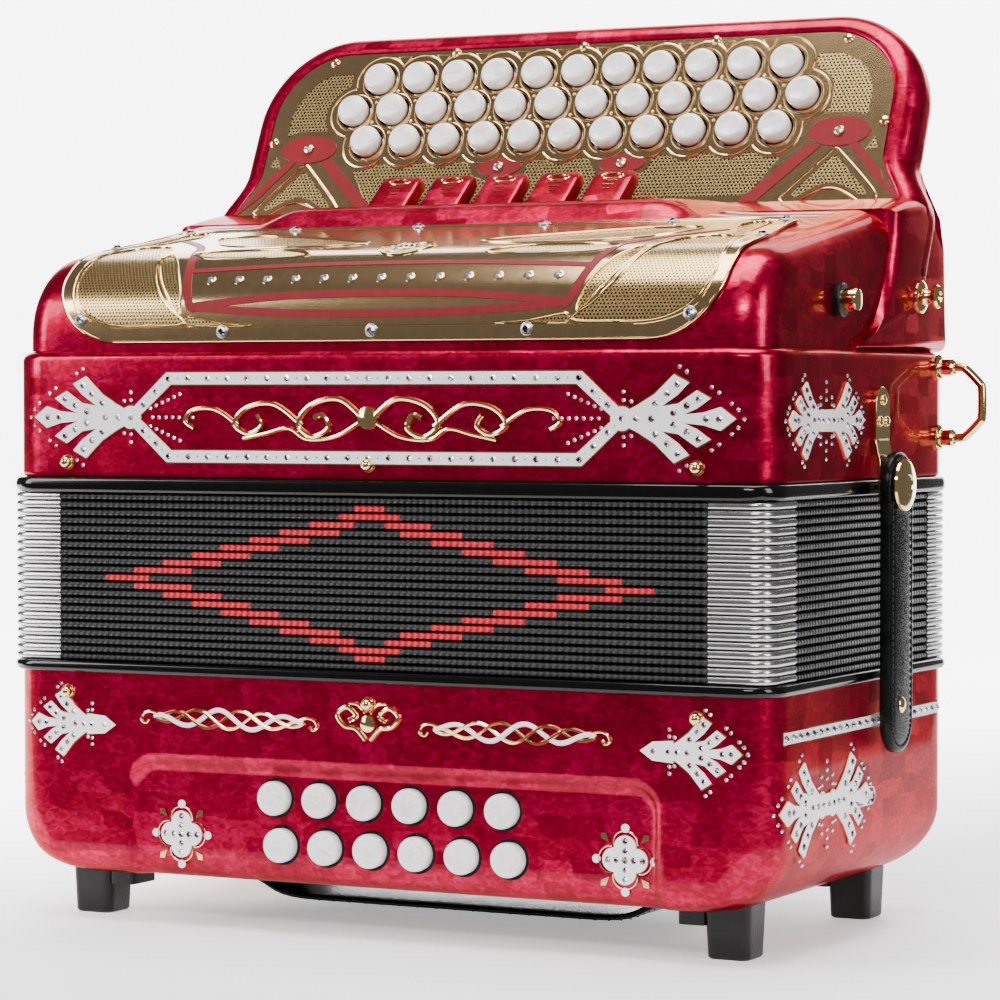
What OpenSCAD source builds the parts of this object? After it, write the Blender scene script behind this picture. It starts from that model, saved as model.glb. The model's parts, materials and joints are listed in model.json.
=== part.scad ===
// Three-row button accordion standing on its bass end, bellows closed.
// +X runs along the wide front face, +Z along the bellows, -Y is the grille side.

/* [Casings] */
// Width of the casings along the front
case_w = 325; // [315:1:340]
// Depth of the casings from front to back
case_d = 183; // [178:1:195]
// Radius of the upright casing corners
case_r = 16; // [10:1:18]
// Wall thickness of the casings
wall = 8; // [7:0.5:9]
// Height of the feet
foot_h = 18.5; // [15:0.5:24]
// Height of the bass casing
bass_h = 78.5; // [76:0.5:90]
// Radius of the rounded lower edges of the bass casing
bass_edge_r = 24; // [16:1:26]
// Height of the treble casing
treble_h = 49; // [46:1:60]

/* [Bellows] */
// Thickness of the lower bellows frame
bass_frame_h = 4.4; // [3:0.2:6]
// Thickness of the upper bellows frame
treble_frame_h = 6; // [4:0.2:8]
// Height of the closed bellows
bellows_h = 65.6; // [60:0.2:75]
// Number of bellows folds
folds = 21; // [15:1:24]
// Depth of each fold
fold_depth = 9; // [7:0.5:11]

/* [Hood] */
// Width of the hood over the treble casing
hood_w = 318; // [310:1:320]
// Radius of the rolled front of the hood
hood_r = 32; // [28:1:36]
// Slope of the hood top in degrees
hood_slope = 10; // [8:0.5:12]
// Half width of the grille at its widest
grille_half_w = 142; // [130:1:145]

/* [Fingerboard] */
// Backward lean of the fingerboard in degrees
lean = 24.6; // [22:0.2:26]
// Half width of the fingerboard above its flared foot
board_half_w = 152.5; // [150:0.5:154]
// Height of the fingerboard top above the lowest button row
board_top = 54; // [52:0.5:58]
// Thickness of the fingerboard
board_t = 20; // [18:0.5:22]
// Distance between neighbouring treble buttons in a row
treble_pitch = 18.76; // [18:0.02:19]
// Distance between treble rows
row_step = 15; // [14.6:0.1:15.4]
// Diameter of a treble button cap
treble_cap_d = 13.2; // [12.4:0.1:15.4]

/* [Bass buttons] */
// Distance between neighbouring bass buttons
bass_pitch = 19.4; // [18:0.1:20]
// Diameter of a bass button cap
bass_cap_d = 13.2; // [12.4:0.1:15]

/* [Registers] */
// Number of register switches
switches = 5; // [5:1:5]
// Distance between register switches
switch_pitch = 24.4; // [22:0.1:25]

/* [Hidden] */
$fn = 48;

red = "crimson";
gold = "goldenrod";
pearl = "ivory";
black = "dimgray";
steel = "silver";
wood = "burlywood";

half_w = case_w / 2;
half_d = case_d / 2;
pin_proud = 4;
board_back = 114;
// The origin lies under the middle of the outer box, so all parts shift along Y.
y_shift = (half_d + pin_proud - board_back) / 2;

bass_top = foot_h + bass_h;
bellows_low = bass_top + bass_frame_h;
bellows_high = bellows_low + bellows_h;
treble_low = bellows_high + treble_frame_h;
ledge = treble_low + treble_h;
fold_step = bellows_h / folds;
frame_proud = 2;

// Hood outline in the YZ plane: an upright, a rolled front and a sloping top.
hood_front = -half_d + 3.5;
hood_upright = 6;
hood_skin = 4;
roll_y = hood_front + hood_r;
roll_z = ledge + hood_upright;
roll_arc = (90 - hood_slope) * PI / 180 * hood_r;

// Fingerboard frame: its origin is on the plate under the middle of the lowest row.
board_y = 75.6;
board_z = ledge + 89.8;
plate_low = -36;
base_back = 90;
flare_top = -8;
flare_low = -32;
flare_w = 7.5;
board_corner_r = 42;
plate_t = 1.2;
plate_inset = 10.5;
cap_proud = 5;
axle_v = -45;
axle_depth = 11;
axle_r = 1.5;
axle_gap = 0.08;
board_base_half = board_half_w + flare_w;
cheek = 9;

bass_row_z = [51.8, 34];
bass_row_x = [6.4, 9];
bass_stem_r = 4;

switch_x0 = -64.5;
switch_w = 18.5;
switch_y = 43;
switch_z = ledge + 57.5;
hub_r = 5;

// Sunk field round the bass buttons
recess_x = 6.5;
recess_w = 227;
recess_top = 47.5;
recess_corner = 12;
recess_depth = 3.5;

// Strap fittings on both short sides
strap_y = 15;
strap_w = 25;
strap_t = 4.6;
strap_low_z = 82;
strap_gap = 4.3;
snap_z = 87.7;
knob_y = 13;
knob_z = treble_low - 2;
knob_r = 10;
knob_stem_r = 4.5;
bracket_w = 14;
bracket_t = 1.6;
bracket_low = treble_low + 15;
loop_y = 77;
loop_top_z = ledge - 6.3;
loop_low_z = ledge - 33.8;
button_y = 58;
button_z = ledge + 21;
screw_y = -21.4;
screw_z = ledge + 18;

// Reeds and valves
lever_t = 2;
bass_reeds = 12;
bass_reed_pitch = 16;
bass_reed_x = -88;

// Feet and hand strap under the bass casing
foot_x = 136.9;
foot_y = [-63, 55.9];
foot_w = 17.5;
strap_end_x = 112;
strap_end_z = 13.9;
hand_strap_w = 54;
hand_strap_t = 2.8;
hand_gap_z = 4;
plate_screw_x = 109;
plate_screw_y = 47;

function hood_yz(s, d) =
    s < hood_upright ? [hood_front - d, ledge + s]
    : s < hood_upright + roll_arc
        ? let(a = 180 - (s - hood_upright) / hood_r * 180 / PI)
            [roll_y + (hood_r + d) * cos(a), roll_z + (hood_r + d) * sin(a)]
    : let(t = s - hood_upright - roll_arc)
        [roll_y - (hood_r + d) * sin(hood_slope) + t * cos(hood_slope),
         roll_z + (hood_r + d) * cos(hood_slope) + t * sin(hood_slope)];

function roll_steps(s0, s1) = concat([s0],
    [for (s = [s0 + 3 : 3 : s1 - 0.5]) if (s > hood_upright && s < hood_upright + roll_arc) s], [s1]);

function flare(v) = v >= flare_top ? 0 : v <= flare_low ? flare_w
    : flare_w * (1 - cos(180 * (flare_top - v) / (flare_top - flare_low))) / 2;

function board_right(inset, low) = concat(
    [for (v = [low, -32, -29, -26, -23, -20, -17, -14, -11, -8])
        [board_half_w + flare(v) - inset, v]],
    [for (a = [0 : 9 : 90])
        [board_half_w - board_corner_r + (board_corner_r - inset) * cos(a),
         board_top - board_corner_r + (board_corner_r - inset) * sin(a)]]);

function mirrored(points) = [for (i = [len(points) - 1 : -1 : 0]) [-points[i][0], points[i][1]]];

function board_outline(inset, low) =
    concat(board_right(inset, low), mirrored(board_right(inset, low)));

function row_count(row) = row == 2 ? 12 : 11;
function row_v(row) = (3 - row) * row_step;
function treble_x(row, i) = (i - (row_count(row) - 1) / 2) * treble_pitch;

module placed() {
    translate([0, y_shift, 0]) children();
}

module on_board() {
    translate([0, board_y, board_z]) rotate([90 - lean, 0, 0]) children();
}

module rounded_rect(w, d, r) {
    square([w - 2 * r, d], center = true);
    square([w, d - 2 * r], center = true);
    for (x = [-1, 1], y = [-1, 1]) translate([x * (w / 2 - r), y * (d / 2 - r)]) circle(r);
}

module slab(w, d, h, r) {
    linear_extrude(h) rounded_rect(w, d, r);
}

module ring(w, d, h, r, inset) {
    difference() {
        slab(w, d, h, r);
        translate([0, 0, -1]) slab(w - 2 * inset, d - 2 * inset, h + 2, max(r - inset, 3));
    }
}

// A YZ outline extruded from x0 to x1.
module along_x(x0, x1) {
    translate([x0, 0, 0]) rotate([90, 0, 90]) linear_extrude(x1 - x0) children();
}

module pin_along_x(x0, x1, y, z, r) {
    translate([x0, y, z]) rotate([0, 90, 0]) cylinder(r = r, h = x1 - x0);
}

// Both short sides carry the same fitting.
module both_sides() {
    children();
    mirror([1, 0, 0]) children();
}

module front_arch(w, h, r) {
    translate([-w / 2 + r, 0]) square([w - 2 * r, h]);
    translate([-w / 2, r]) square([w, h - r]);
    for (x = [-1, 1]) translate([x * (w / 2 - r), r]) circle(r);
}

module bass_block(inset) {
    r = bass_edge_r - inset;
    h = bass_h - inset;
    translate([0, 0, foot_h + inset]) intersection() {
        slab(case_w - 2 * inset, case_d - 2 * inset, h, max(case_r - inset, 4));
        translate([0, half_d, 0]) rotate([90, 0, 0]) linear_extrude(case_d)
            front_arch(case_w - 2 * inset, h, r);
        translate([-half_w, 0, 0]) rotate([90, 0, 90]) linear_extrude(case_w)
            front_arch(case_d - 2 * inset, h, min(r, 14));
    }
}

module bass_recess() {
    translate([recess_x, -half_d + recess_depth, foot_h]) rotate([90, 0, 0]) linear_extrude(10) {
        translate([-recess_w / 2, -1]) square([recess_w, recess_top - recess_corner + 1]);
        translate([0, recess_top / 2]) rounded_rect(recess_w, recess_top, recess_corner);
    }
}

module bass_casing() {
    color(red) placed() difference() {
        bass_block(0);
        bass_block(wall);
        translate([0, 0, bass_top - 1]) slab(case_w - 2 * wall, case_d - 2 * wall, 3, 8);
        bass_recess();
        for (row = [0, 1], i = [0 : 5])
            translate([bass_x(row, i), -half_d - 5, bass_row_z[row]]) rotate([-90, 0, 0])
                cylinder(r = bass_cap_d / 2 + 1, h = 20);
        translate([half_w - wall - 2, -22, 51]) cube([wall + 4, 30, 6]);
    }
}

function bass_x(row, i) = bass_row_x[row] + (i - 2.5) * bass_pitch;

module bass_end_plate() {
    color(black) placed() translate([0, 0, foot_h - 1.8]) difference() {
        slab(232, 110, 1.8, 10);
        for (x = [-1, 1], y = [-1, 1])
            translate([x * plate_screw_x, y * plate_screw_y, -1]) cylinder(r = 1.6, h = 4);
    }
}

module end_plate_screws() {
    color(steel) placed() for (x = [-1, 1], y = [-1, 1])
        translate([x * plate_screw_x, y * plate_screw_y, foot_h - 3.3]) {
            cylinder(r = 3.2, h = 1.5);
            cylinder(r = 1.5, h = 3.2);
        }
}

module bass_button_guide() {
    color(wood) placed() difference() {
        translate([-60, -half_d + wall + 14, foot_h + wall]) cube([135, 4, 40]);
        for (row = [0, 1], i = [0 : 5])
            translate([bass_x(row, i), -half_d + wall, bass_row_z[row]]) rotate([-90, 0, 0])
                cylinder(r = bass_stem_r + 0.4, h = 30);
    }
}

module bass_button(n) {
    row = n > 6 ? 1 : 0;
    i = (n - 1) % 6;
    color(pearl) placed() translate([bass_x(row, i), -half_d - 1.5, bass_row_z[row]])
        rotate([-90, 0, 0]) {
            cylinder(r = bass_cap_d / 2, h = 7);
            translate([0, 0, 6]) cylinder(r = bass_stem_r, h = 26);
        }
}

function bass_reed(i) = bass_reed_x + bass_reed_pitch * i;

module bass_soundboard() {
    color(wood) placed() translate([0, 0, bass_top - 7]) difference() {
        slab(case_w - 2 * wall, case_d - 2 * wall, 7, 8);
        for (i = [0 : bass_reeds - 1]) translate([bass_reed(i) - 5, 12, -1]) cube([10, 22, 9]);
    }
}

module bass_reed_block() {
    color(wood) placed() difference() {
        translate([-98, 10, bass_top]) cube([196, 26, 30]);
        for (i = [0 : bass_reeds - 1])
            translate([bass_reed(i) - 5, 8, bass_top + 4]) cube([10, 30, 20]);
    }
}

module bass_reed_plates() {
    color(steel) placed() for (i = [0 : bass_reeds - 1], y = [8.8, 36])
        translate([bass_reed(i) - 6.5, y, bass_top + 2]) cube([13, 1.2, 25]);
}

module bass_bellows_frame() {
    color("black") placed() translate([0, 0, bass_top])
        ring(case_w + 2 * frame_proud, case_d + 2 * frame_proud, bass_frame_h, case_r, 14);
}

module treble_bellows_frame() {
    color("black") placed() translate([0, 0, bellows_high])
        ring(case_w + 2 * frame_proud, case_d + 2 * frame_proud, treble_frame_h, case_r, 14);
}

module bellows_folds() {
    inner = case_w - 2 * fold_depth;
    color(black) placed() translate([0, 0, bellows_low]) difference() {
        union() {
            slab(inner, case_d - 2 * fold_depth, bellows_h, 6);
            for (k = [0 : folds - 1]) translate([0, 0, (k + 0.14) * fold_step])
                slab(case_w - 1.2, case_d - 1.2, fold_step * 0.72, 8);
        }
        translate([0, 0, -1]) slab(inner - 5, case_d - 2 * fold_depth - 5, bellows_h + 2, 5);
    }
}

module bellows_corners() {
    reach = 24;
    color(steel) placed() for (k = [0 : folds - 1])
        translate([0, 0, bellows_low + (k + 0.1) * fold_step]) intersection() {
            difference() {
                slab(case_w, case_d, fold_step * 0.8, 8.5);
                translate([0, 0, -1]) slab(case_w - 1.2, case_d - 1.2, fold_step * 0.8 + 2, 8);
            }
            for (x = [-1, 1], y = [-1, 1])
                translate([x * (half_w - reach / 2), y * (half_d - reach / 2), fold_step / 2])
                    cube([reach + 1, reach + 1, fold_step * 2], center = true);
        }
}

module feet() {
    color("black") placed() difference() {
        for (x = [-foot_x, foot_x], y = foot_y) {
            translate([x, y, 0]) slab(foot_w, foot_w, 24, 4);
            translate([x - sign(x) * 13.4, y, foot_h - 6]) cube([10, 17, 12.1], center = true);
        }
        bass_block(0);
    }
}

module hand_strap() {
    low = [[-strap_end_x, strap_end_z], [-96, strap_end_z], [-74, hand_gap_z], [74, hand_gap_z],
        [96, strap_end_z], [strap_end_x, strap_end_z]];
    top = [[strap_end_x, strap_end_z], [95, strap_end_z], [72, hand_gap_z], [-72, hand_gap_z],
        [-95, strap_end_z], [-strap_end_x, strap_end_z]];
    color(black) placed() translate([0, hand_strap_w / 2, 0]) rotate([90, 0, 0])
        linear_extrude(hand_strap_w)
            polygon(concat(low, [for (p = top) p + [0, hand_strap_t]]));
}

module hand_strap_plates() {
    color(gold) placed() both_sides() translate([104.5, 0, 12.4]) {
        slab(12, 56, 1.5, 3);
        for (y = [-18, 18]) translate([0, y, -1.4]) cylinder(r = 3, h = 1.4);
    }
}

module bellows_pin(side, x, z) {
    translate([x, side * half_d, z]) rotate([-90 * side, 0, 0]) {
        cylinder(r = 1.4, h = pin_proud - 1.5);
        translate([0, 0, pin_proud - 2.35]) sphere(r = 2.35);
    }
}

module pin_row(z) {
    color(gold) placed() for (side = [-1, 1], x = [-134.1, 0, 134.1]) intersection() {
        bellows_pin(side, x, z);
        translate([x, side * (half_d + 5), z]) cube([8, 10, 8], center = true);
    }
}

module bass_bellows_pins() {
    pin_row(89.3);
}

module treble_bellows_pins() {
    pin_row(treble_low + 5.8);
}

module treble_casing() {
    color(red) placed() translate([0, 0, treble_low])
        ring(case_w, case_d, treble_h, case_r, wall);
}

module treble_soundboard() {
    color(wood) placed() translate([0, 0, treble_low]) difference() {
        slab(case_w - 2 * wall, case_d - 2 * wall, 7, 8);
        for (row = [1 : 3], i = [0 : row_count(row) - 1])
            translate([lever_x(row, i) - 4, pallet_y(row) - 6, -1]) cube([8, 12, 9]);
    }
}

module treble_reed_blocks() {
    color(wood) placed() for (row = [1 : 3]) difference() {
        translate([-118, pallet_y(row) - 9, treble_low - 34]) cube([236, 18, 34]);
        for (i = [0 : row_count(row) - 1])
            translate([lever_x(row, i) - 4, pallet_y(row) - 10, treble_low - 30]) cube([8, 20, 24]);
    }
}

module treble_reed_plates() {
    color(steel) placed() for (row = [1 : 3], i = [0 : row_count(row) - 1], side = [-1, 1])
        translate([lever_x(row, i) - 6, pallet_y(row) + side * 9.6 - 0.6, treble_low - 32])
            cube([12, 1.2, 28]);
}

// Inner and outer lines of the hood between two places along its outline.
module hood_band(s0, s1, inside, outside) {
    steps = roll_steps(s0, s1);
    polygon(concat([for (s = steps) hood_yz(s, outside)],
        [for (i = [len(steps) - 1 : -1 : 0]) hood_yz(steps[i], inside)]));
}

hood_end = hood_upright + roll_arc + 126;
side_end = hood_upright + roll_arc + 95;

module hood_side_outline() {
    steps = roll_steps(0, side_end);
    polygon(concat([for (s = steps) hood_yz(s, 0)],
        [[33, ledge + 38], [28, ledge + 26], [20, ledge + 15], [10, ledge + 6], [-6, ledge]]));
}

module treble_hood() {
    color(red) placed() difference() {
        intersection() {
            union() {
                along_x(-board_base_half + cheek, board_base_half - cheek)
                    hood_band(0, hood_end, -hood_skin, 0);
                both_sides() along_x(board_base_half - cheek, hood_w / 2) hood_side_outline();
            }
            translate([0, 100 + hood_front, ledge - 1]) slab(hood_w, 200, 80, 14);
        }
        along_x(-124, 124) hood_band(12, 112, -hood_skin - 1, 1);
        on_board() translate([-200, -200, -99.95]) cube([400, 400, 100]);
        translate([switch_x0 - 14, switch_y - 8, ledge + 40])
            cube([4 * switch_pitch + 28, 18, 30]);
        pin_along_x(hood_w / 2 - 12, hood_w / 2 + 1, screw_y, screw_z, 2.5);
    }
}

module treble_grille() {
    color(gold) placed() intersection() {
        difference() {
            along_x(-grille_half_w, grille_half_w) hood_band(3.5, 119, 0, 1.2);
            for (side = [-1, 1]) along_x(side * 107 - 20, side * 107 + 20) hood_band(16, 58, -1, 3);
        }
        translate([0, 100 + hood_front - 2, ledge]) slab(2 * grille_half_w, 200, 80, 24);
        translate([0, 60, ledge + 2]) rotate([90, 0, 0]) linear_extrude(200)
            translate([0, 40]) rounded_rect(2 * grille_half_w, 80, 20);
    }
}

module grille_cloth() {
    color("firebrick") placed() along_x(-123.5, 123.5) hood_band(12.5, 111.5, -1.2, -0.4);
}

module grille_screws() {
    color(steel) placed() for (x = [-100, -50, 0, 50, 100])
        translate([x, hood_front - 2.2, ledge + 5.5]) rotate([-90, 0, 0]) cylinder(r = 2.2, h = 1);
}

module board_prism(inset, low, z0, z1) {
    on_board() translate([0, 0, z0]) linear_extrude(z1 - z0) polygon(board_outline(inset, low));
}

// A point at height v on the fingerboard and distance d out of its plate, in the YZ plane.
function board_yz(v, d) =
    [board_y + v * sin(lean) - d * cos(lean), board_z + v * cos(lean) + d * sin(lean)];

// Height on the fingerboard at which a line d out of its plate reaches y.
function board_v(y, d) = (y - board_y + d * cos(lean)) / sin(lean);

module board_side_outline() {
    step_v = (ledge + 54 - board_z) / cos(lean);
    top_d = (board_y + board_top * sin(lean) - board_back) / cos(lean);
    polygon([[-6, ledge], [10, ledge + 6], [20, ledge + 15], [28, ledge + 26], [33, ledge + 38],
        [33, ledge + 54], board_yz(step_v, 0), board_yz(board_top - 5, 0),
        board_yz(board_top, -5), board_yz(board_top, top_d),
        board_yz(board_v(board_back, -board_t), -board_t),
        board_yz(board_v(base_back, -board_t), -board_t), [base_back, ledge]]);
}

module board_cavity() {
    inner = board_base_half - cheek;
    along_x(-inner, inner) polygon([[-60, ledge - 1], [base_back - 6, ledge - 1],
        [base_back - 6, ledge + 50], board_yz(-34, -board_t + 3), board_yz(-34, 150)]);
    on_board() translate([-130, -60, -board_t + 3]) cube([260, 101, board_t + 20]);
}

module fingerboard_shell() {
    color(red) placed() difference() {
        intersection() {
            along_x(-board_base_half - 10, board_base_half + 10) board_side_outline();
            board_prism(0, -260, -140, 140);
        }
        board_cavity();
        board_prism(plate_inset, plate_low, -plate_t, 20);
        both_sides() pin_along_x(board_base_half - 5, board_base_half + 1, button_y, button_z, 1.5);
    }
}

module fingerboard_plate() {
    color(gold) placed() difference() {
        board_prism(plate_inset + 0.2, plate_low, -plate_t, 0);
        for (row = [1 : 3], i = [0 : row_count(row) - 1]) on_board()
            translate([treble_x(row, i), row_v(row), -5])
                cylinder(r = treble_cap_d / 2 + 0.8, h = 10);
    }
}

module treble_buttons(row) {
    color(pearl) placed() on_board() for (i = [0 : row_count(row) - 1])
        translate([treble_x(row, i), row_v(row), 0]) {
            translate([0, 0, -1]) cylinder(r = treble_cap_d / 2, h = cap_proud + 1);
            translate([0, 0, -9]) cylinder(r = 2.5, h = 9);
        }
}

function lever_x(row, i) = treble_x(row, i) + (row == 1 ? 5 : 0);
function pallet_y(row) = row == 1 ? 44 : row == 2 ? 20 : -4;

module treble_levers(row) {
    pallet_z = treble_low + 7.4;
    color(steel) placed() difference() {
        for (i = [0 : row_count(row) - 1]) translate([lever_x(row, i), 0, 0]) {
            on_board() {
                translate([-lever_t / 2, axle_v, -axle_depth - 1])
                    cube([lever_t, row_v(row) - axle_v + 3, 1.6]);
                translate([row == 1 ? -6 : -1, row_v(row) - 3, -axle_depth - 1])
                    cube([row == 1 ? 7 : 2, 6, 1.6]);
                translate([-lever_t / 2, axle_v, -axle_depth]) rotate([0, 90, 0])
                    cylinder(r = 4, h = lever_t);
            }
            along_x(-lever_t / 2, lever_t / 2)
                polygon([[axle_y + 2, axle_z - 2], [pallet_y(row) + 2.5, pallet_z + 2],
                    [pallet_y(row) - 2.5, pallet_z + 2], [axle_y - 2, axle_z + 2]]);
            translate([-5.5, pallet_y(row) - 8, pallet_z]) cube([11, 16, 3]);
        }
        pin_along_x(-half_w, half_w, axle_y, axle_z, axle_r + axle_gap);
    }
}

axle_y = board_y + axle_v * sin(lean) + axle_depth * cos(lean);
axle_z = board_z + axle_v * cos(lean) - axle_depth * sin(lean);

module treble_lever_axle() {
    color(steel) placed()
        pin_along_x(-board_base_half + cheek, board_base_half - cheek, axle_y, axle_z, axle_r);
}

module register_plateau() {
    x0 = switch_x0 - 44;
    x1 = switch_x0 + 4 * switch_pitch + 44;
    top = hood_yz(hood_end - 4, 0);
    foot = hood_yz(hood_upright + roll_arc + 80, 0);
    color(red) placed() difference() {
        intersection() {
            along_x(x0, x1) polygon([foot, foot + [9, 7], top + [-3, 1.5], top + [-1, 0]]);
            translate([(x0 + x1) / 2, 60, ledge + 51]) rotate([90, 0, 0]) linear_extrude(60)
                polygon([[-106, 0], [106, 0], [84, 16], [-84, 16]]);
        }
        translate([switch_x0 - 14, switch_y - 6.5, ledge + 40])
            cube([4 * switch_pitch + 28, 13, 40]);
    }
}

module register_switch(n) {
    color(red) placed() translate([switch_x0 + (n - 1) * switch_pitch, switch_y, switch_z]) {
        along_x(-switch_w / 2, switch_w / 2) {
            circle(hub_r);
            rotate(40) translate([0, -1]) square([20, 6]);
        }
    }
}

module strap_loops() {
    inner_x = 16.5;
    wire = 3.8;
    top = loop_top_z + wire / 2;
    low = loop_low_z - wire / 2;
    color(gold) placed() both_sides() {
        for (z = [loop_top_z, loop_low_z]) {
            pin_along_x(half_w, half_w + 1.4, loop_y, z, 5);
            pin_along_x(half_w, half_w + 6.5, loop_y, z, 3.2);
        }
        translate([half_w, loop_y, 0]) rotate([90, 0, 0]) translate([0, 0, -wire / 2])
            linear_extrude(wire) polygon([[4.5, top], [4.5, top - wire], [10, top - wire],
                [inner_x, top - 9.1], [inner_x, low + 9.1], [10, low + wire], [4.5, low + wire],
                [4.5, low], [11.5, low], [inner_x + 3.5, low + 7.3], [inner_x + 3.5, top - 7.3],
                [11.5, top]]);
    }
}

module strap_buttons() {
    color(gold) placed() both_sides() {
        pin_along_x(board_base_half, board_base_half + 1.5, button_y, button_z, 6.5);
        pin_along_x(board_base_half, board_base_half + 6, button_y, button_z, 2.8);
        pin_along_x(board_base_half + 5.5, board_base_half + 8, button_y, button_z, 4.5);
    }
}

module strap_brackets() {
    rivets = [bracket_low + 3, bracket_low + 11];
    color(gold) placed() both_sides() {
        difference() {
            translate([half_w, knob_y, bracket_low]) rotate([90, 0, 90]) linear_extrude(bracket_t) {
                translate([-bracket_w / 2, 0]) square([bracket_w, 11]);
                translate([0, 11]) circle(bracket_w / 2);
            }
            for (z = rivets) pin_along_x(half_w - 1, half_w + 3, knob_y, z, 1.6);
        }
        translate([0, knob_y - bracket_w / 2, 0]) rotate([90, 0, 0]) mirror([0, 0, 1])
            linear_extrude(bracket_w)
                polygon([[half_w, bracket_low], [half_w + bracket_t, bracket_low + 0.5],
                    [half_w + 3.7, bracket_low - 5], [half_w + 3.7, knob_z - 8],
                    [half_w + 2.3, knob_z - 8], [half_w + 2.3, bracket_low - 6]]);
        for (z = rivets) pin_along_x(half_w, half_w + 3, knob_y, z, 1.6);
    }
}

module strap_knobs() {
    color(gold) placed() both_sides() {
        pin_along_x(half_w + 3.7, half_w + 9.6, knob_y, knob_z, knob_stem_r);
        pin_along_x(half_w + 9.3, half_w + 12.5, knob_y, knob_z, knob_r);
    }
}

module right_or_left(side) {
    mirror([side < 0 ? 1 : 0, 0, 0]) children();
}

module bellows_strap(side) {
    strap_x = half_w + strap_gap;
    color("black") placed() right_or_left(side) difference() {
        union() {
            translate([strap_x, strap_y, 0]) rotate([90, 0, 90]) linear_extrude(strap_t) {
                translate([-strap_w / 2, strap_low_z]) square([strap_w, knob_z - strap_low_z]);
                for (z = [strap_low_z, knob_z]) translate([0, z]) circle(strap_w / 2);
            }
            pin_along_x(strap_x + strap_t - 0.2, strap_x + strap_t + 1, strap_y, snap_z, 3);
        }
        pin_along_x(strap_x - 2, strap_x + strap_t + 2, knob_y, knob_z, knob_stem_r + 0.4);
    }
}

module air_lever() {
    color(pearl) placed() translate([half_w - 1.5, -8, 54]) {
        rotate([0, 90, 0]) cylinder(r = 2.4, h = 1.2);
        translate([-8, 0, -2]) cube([11, 12, 4]);
        translate([-10, 0, 0]) cylinder(r = 2.5, h = 4, center = true);
    }
}

module thumb_screw() {
    color(gold) placed() {
        pin_along_x(hood_w / 2 + 0.3, hood_w / 2 + 3.6, screw_y, screw_z, 6.3);
        pin_along_x(hood_w / 2 + 3.5, hood_w / 2 + 9.2, screw_y, screw_z, 4.3);
        pin_along_x(hood_w / 2 - 10, hood_w / 2 + 1, screw_y, screw_z, 2.4);
    }
}

treble_casing();
treble_hood();
treble_grille();
grille_cloth();
fingerboard_shell();
fingerboard_plate();
register_plateau();
treble_soundboard();
treble_reed_blocks();
treble_reed_plates();
treble_bellows_frame();
treble_lever_axle();
strap_loops();
strap_buttons();
strap_brackets();
strap_knobs();
treble_bellows_pins();
grille_screws();
bass_casing();
bass_end_plate();
bass_button_guide();
bass_soundboard();
bass_reed_block();
bass_reed_plates();
bass_bellows_frame();
bass_bellows_pins();
bellows_folds();
bellows_corners();
feet();
hand_strap();
hand_strap_plates();
end_plate_screws();
treble_buttons(1);  // treble_buttons_row_1
treble_buttons(2);  // treble_buttons_row_2
treble_buttons(3);  // treble_buttons_row_3
treble_levers(1);  // treble_levers_row_1
treble_levers(2);  // treble_levers_row_2
treble_levers(3);  // treble_levers_row_3
bass_button(1);  // bass_button_01
bass_button(2);  // bass_button_02
bass_button(3);  // bass_button_03
bass_button(4);  // bass_button_04
bass_button(5);  // bass_button_05
bass_button(6);  // bass_button_06
bass_button(7);  // bass_button_07
bass_button(8);  // bass_button_08
bass_button(9);  // bass_button_09
bass_button(10);  // bass_button_10
bass_button(11);  // bass_button_11
bass_button(12);  // bass_button_12
register_switch(1);  // register_switch_1
register_switch(2);  // register_switch_2
register_switch(3);  // register_switch_3
register_switch(4);  // register_switch_4
register_switch(5);  // register_switch_5
air_lever();
bellows_strap(1);  // bellows_strap_right
bellows_strap(-1);  // bellows_strap_left
thumb_screw();
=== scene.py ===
import json
import math

import bmesh
import bpy
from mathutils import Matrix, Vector, geometry


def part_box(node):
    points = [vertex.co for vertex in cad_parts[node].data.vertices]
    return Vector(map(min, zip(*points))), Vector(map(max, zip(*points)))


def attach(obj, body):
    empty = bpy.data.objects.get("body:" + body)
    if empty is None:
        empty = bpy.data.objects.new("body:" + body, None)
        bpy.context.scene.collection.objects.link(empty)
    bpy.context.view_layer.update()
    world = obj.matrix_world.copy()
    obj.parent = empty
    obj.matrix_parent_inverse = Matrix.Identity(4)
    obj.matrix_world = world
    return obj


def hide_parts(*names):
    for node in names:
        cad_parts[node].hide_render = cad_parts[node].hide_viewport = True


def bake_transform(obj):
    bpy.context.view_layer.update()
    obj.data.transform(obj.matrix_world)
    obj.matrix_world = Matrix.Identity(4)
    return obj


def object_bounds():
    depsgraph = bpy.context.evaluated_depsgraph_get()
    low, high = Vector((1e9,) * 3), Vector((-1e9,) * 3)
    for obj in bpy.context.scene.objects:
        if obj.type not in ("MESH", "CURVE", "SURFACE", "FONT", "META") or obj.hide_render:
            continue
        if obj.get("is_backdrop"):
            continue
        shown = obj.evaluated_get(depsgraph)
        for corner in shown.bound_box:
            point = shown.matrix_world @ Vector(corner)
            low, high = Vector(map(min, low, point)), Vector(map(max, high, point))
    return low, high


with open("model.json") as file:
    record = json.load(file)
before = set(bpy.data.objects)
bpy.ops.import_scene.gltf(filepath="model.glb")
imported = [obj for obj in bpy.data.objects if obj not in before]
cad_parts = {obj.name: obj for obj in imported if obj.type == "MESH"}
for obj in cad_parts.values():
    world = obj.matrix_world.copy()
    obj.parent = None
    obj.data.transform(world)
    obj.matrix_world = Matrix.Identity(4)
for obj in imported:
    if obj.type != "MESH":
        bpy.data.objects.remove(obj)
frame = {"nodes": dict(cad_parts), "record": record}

cad_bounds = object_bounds()
MM = 0.001


# ---------------------------------------------------------------- places taken from the frame

def box_mm(node):
    low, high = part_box(node)
    return [c / MM for c in low], [c / MM for c in high]


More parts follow.
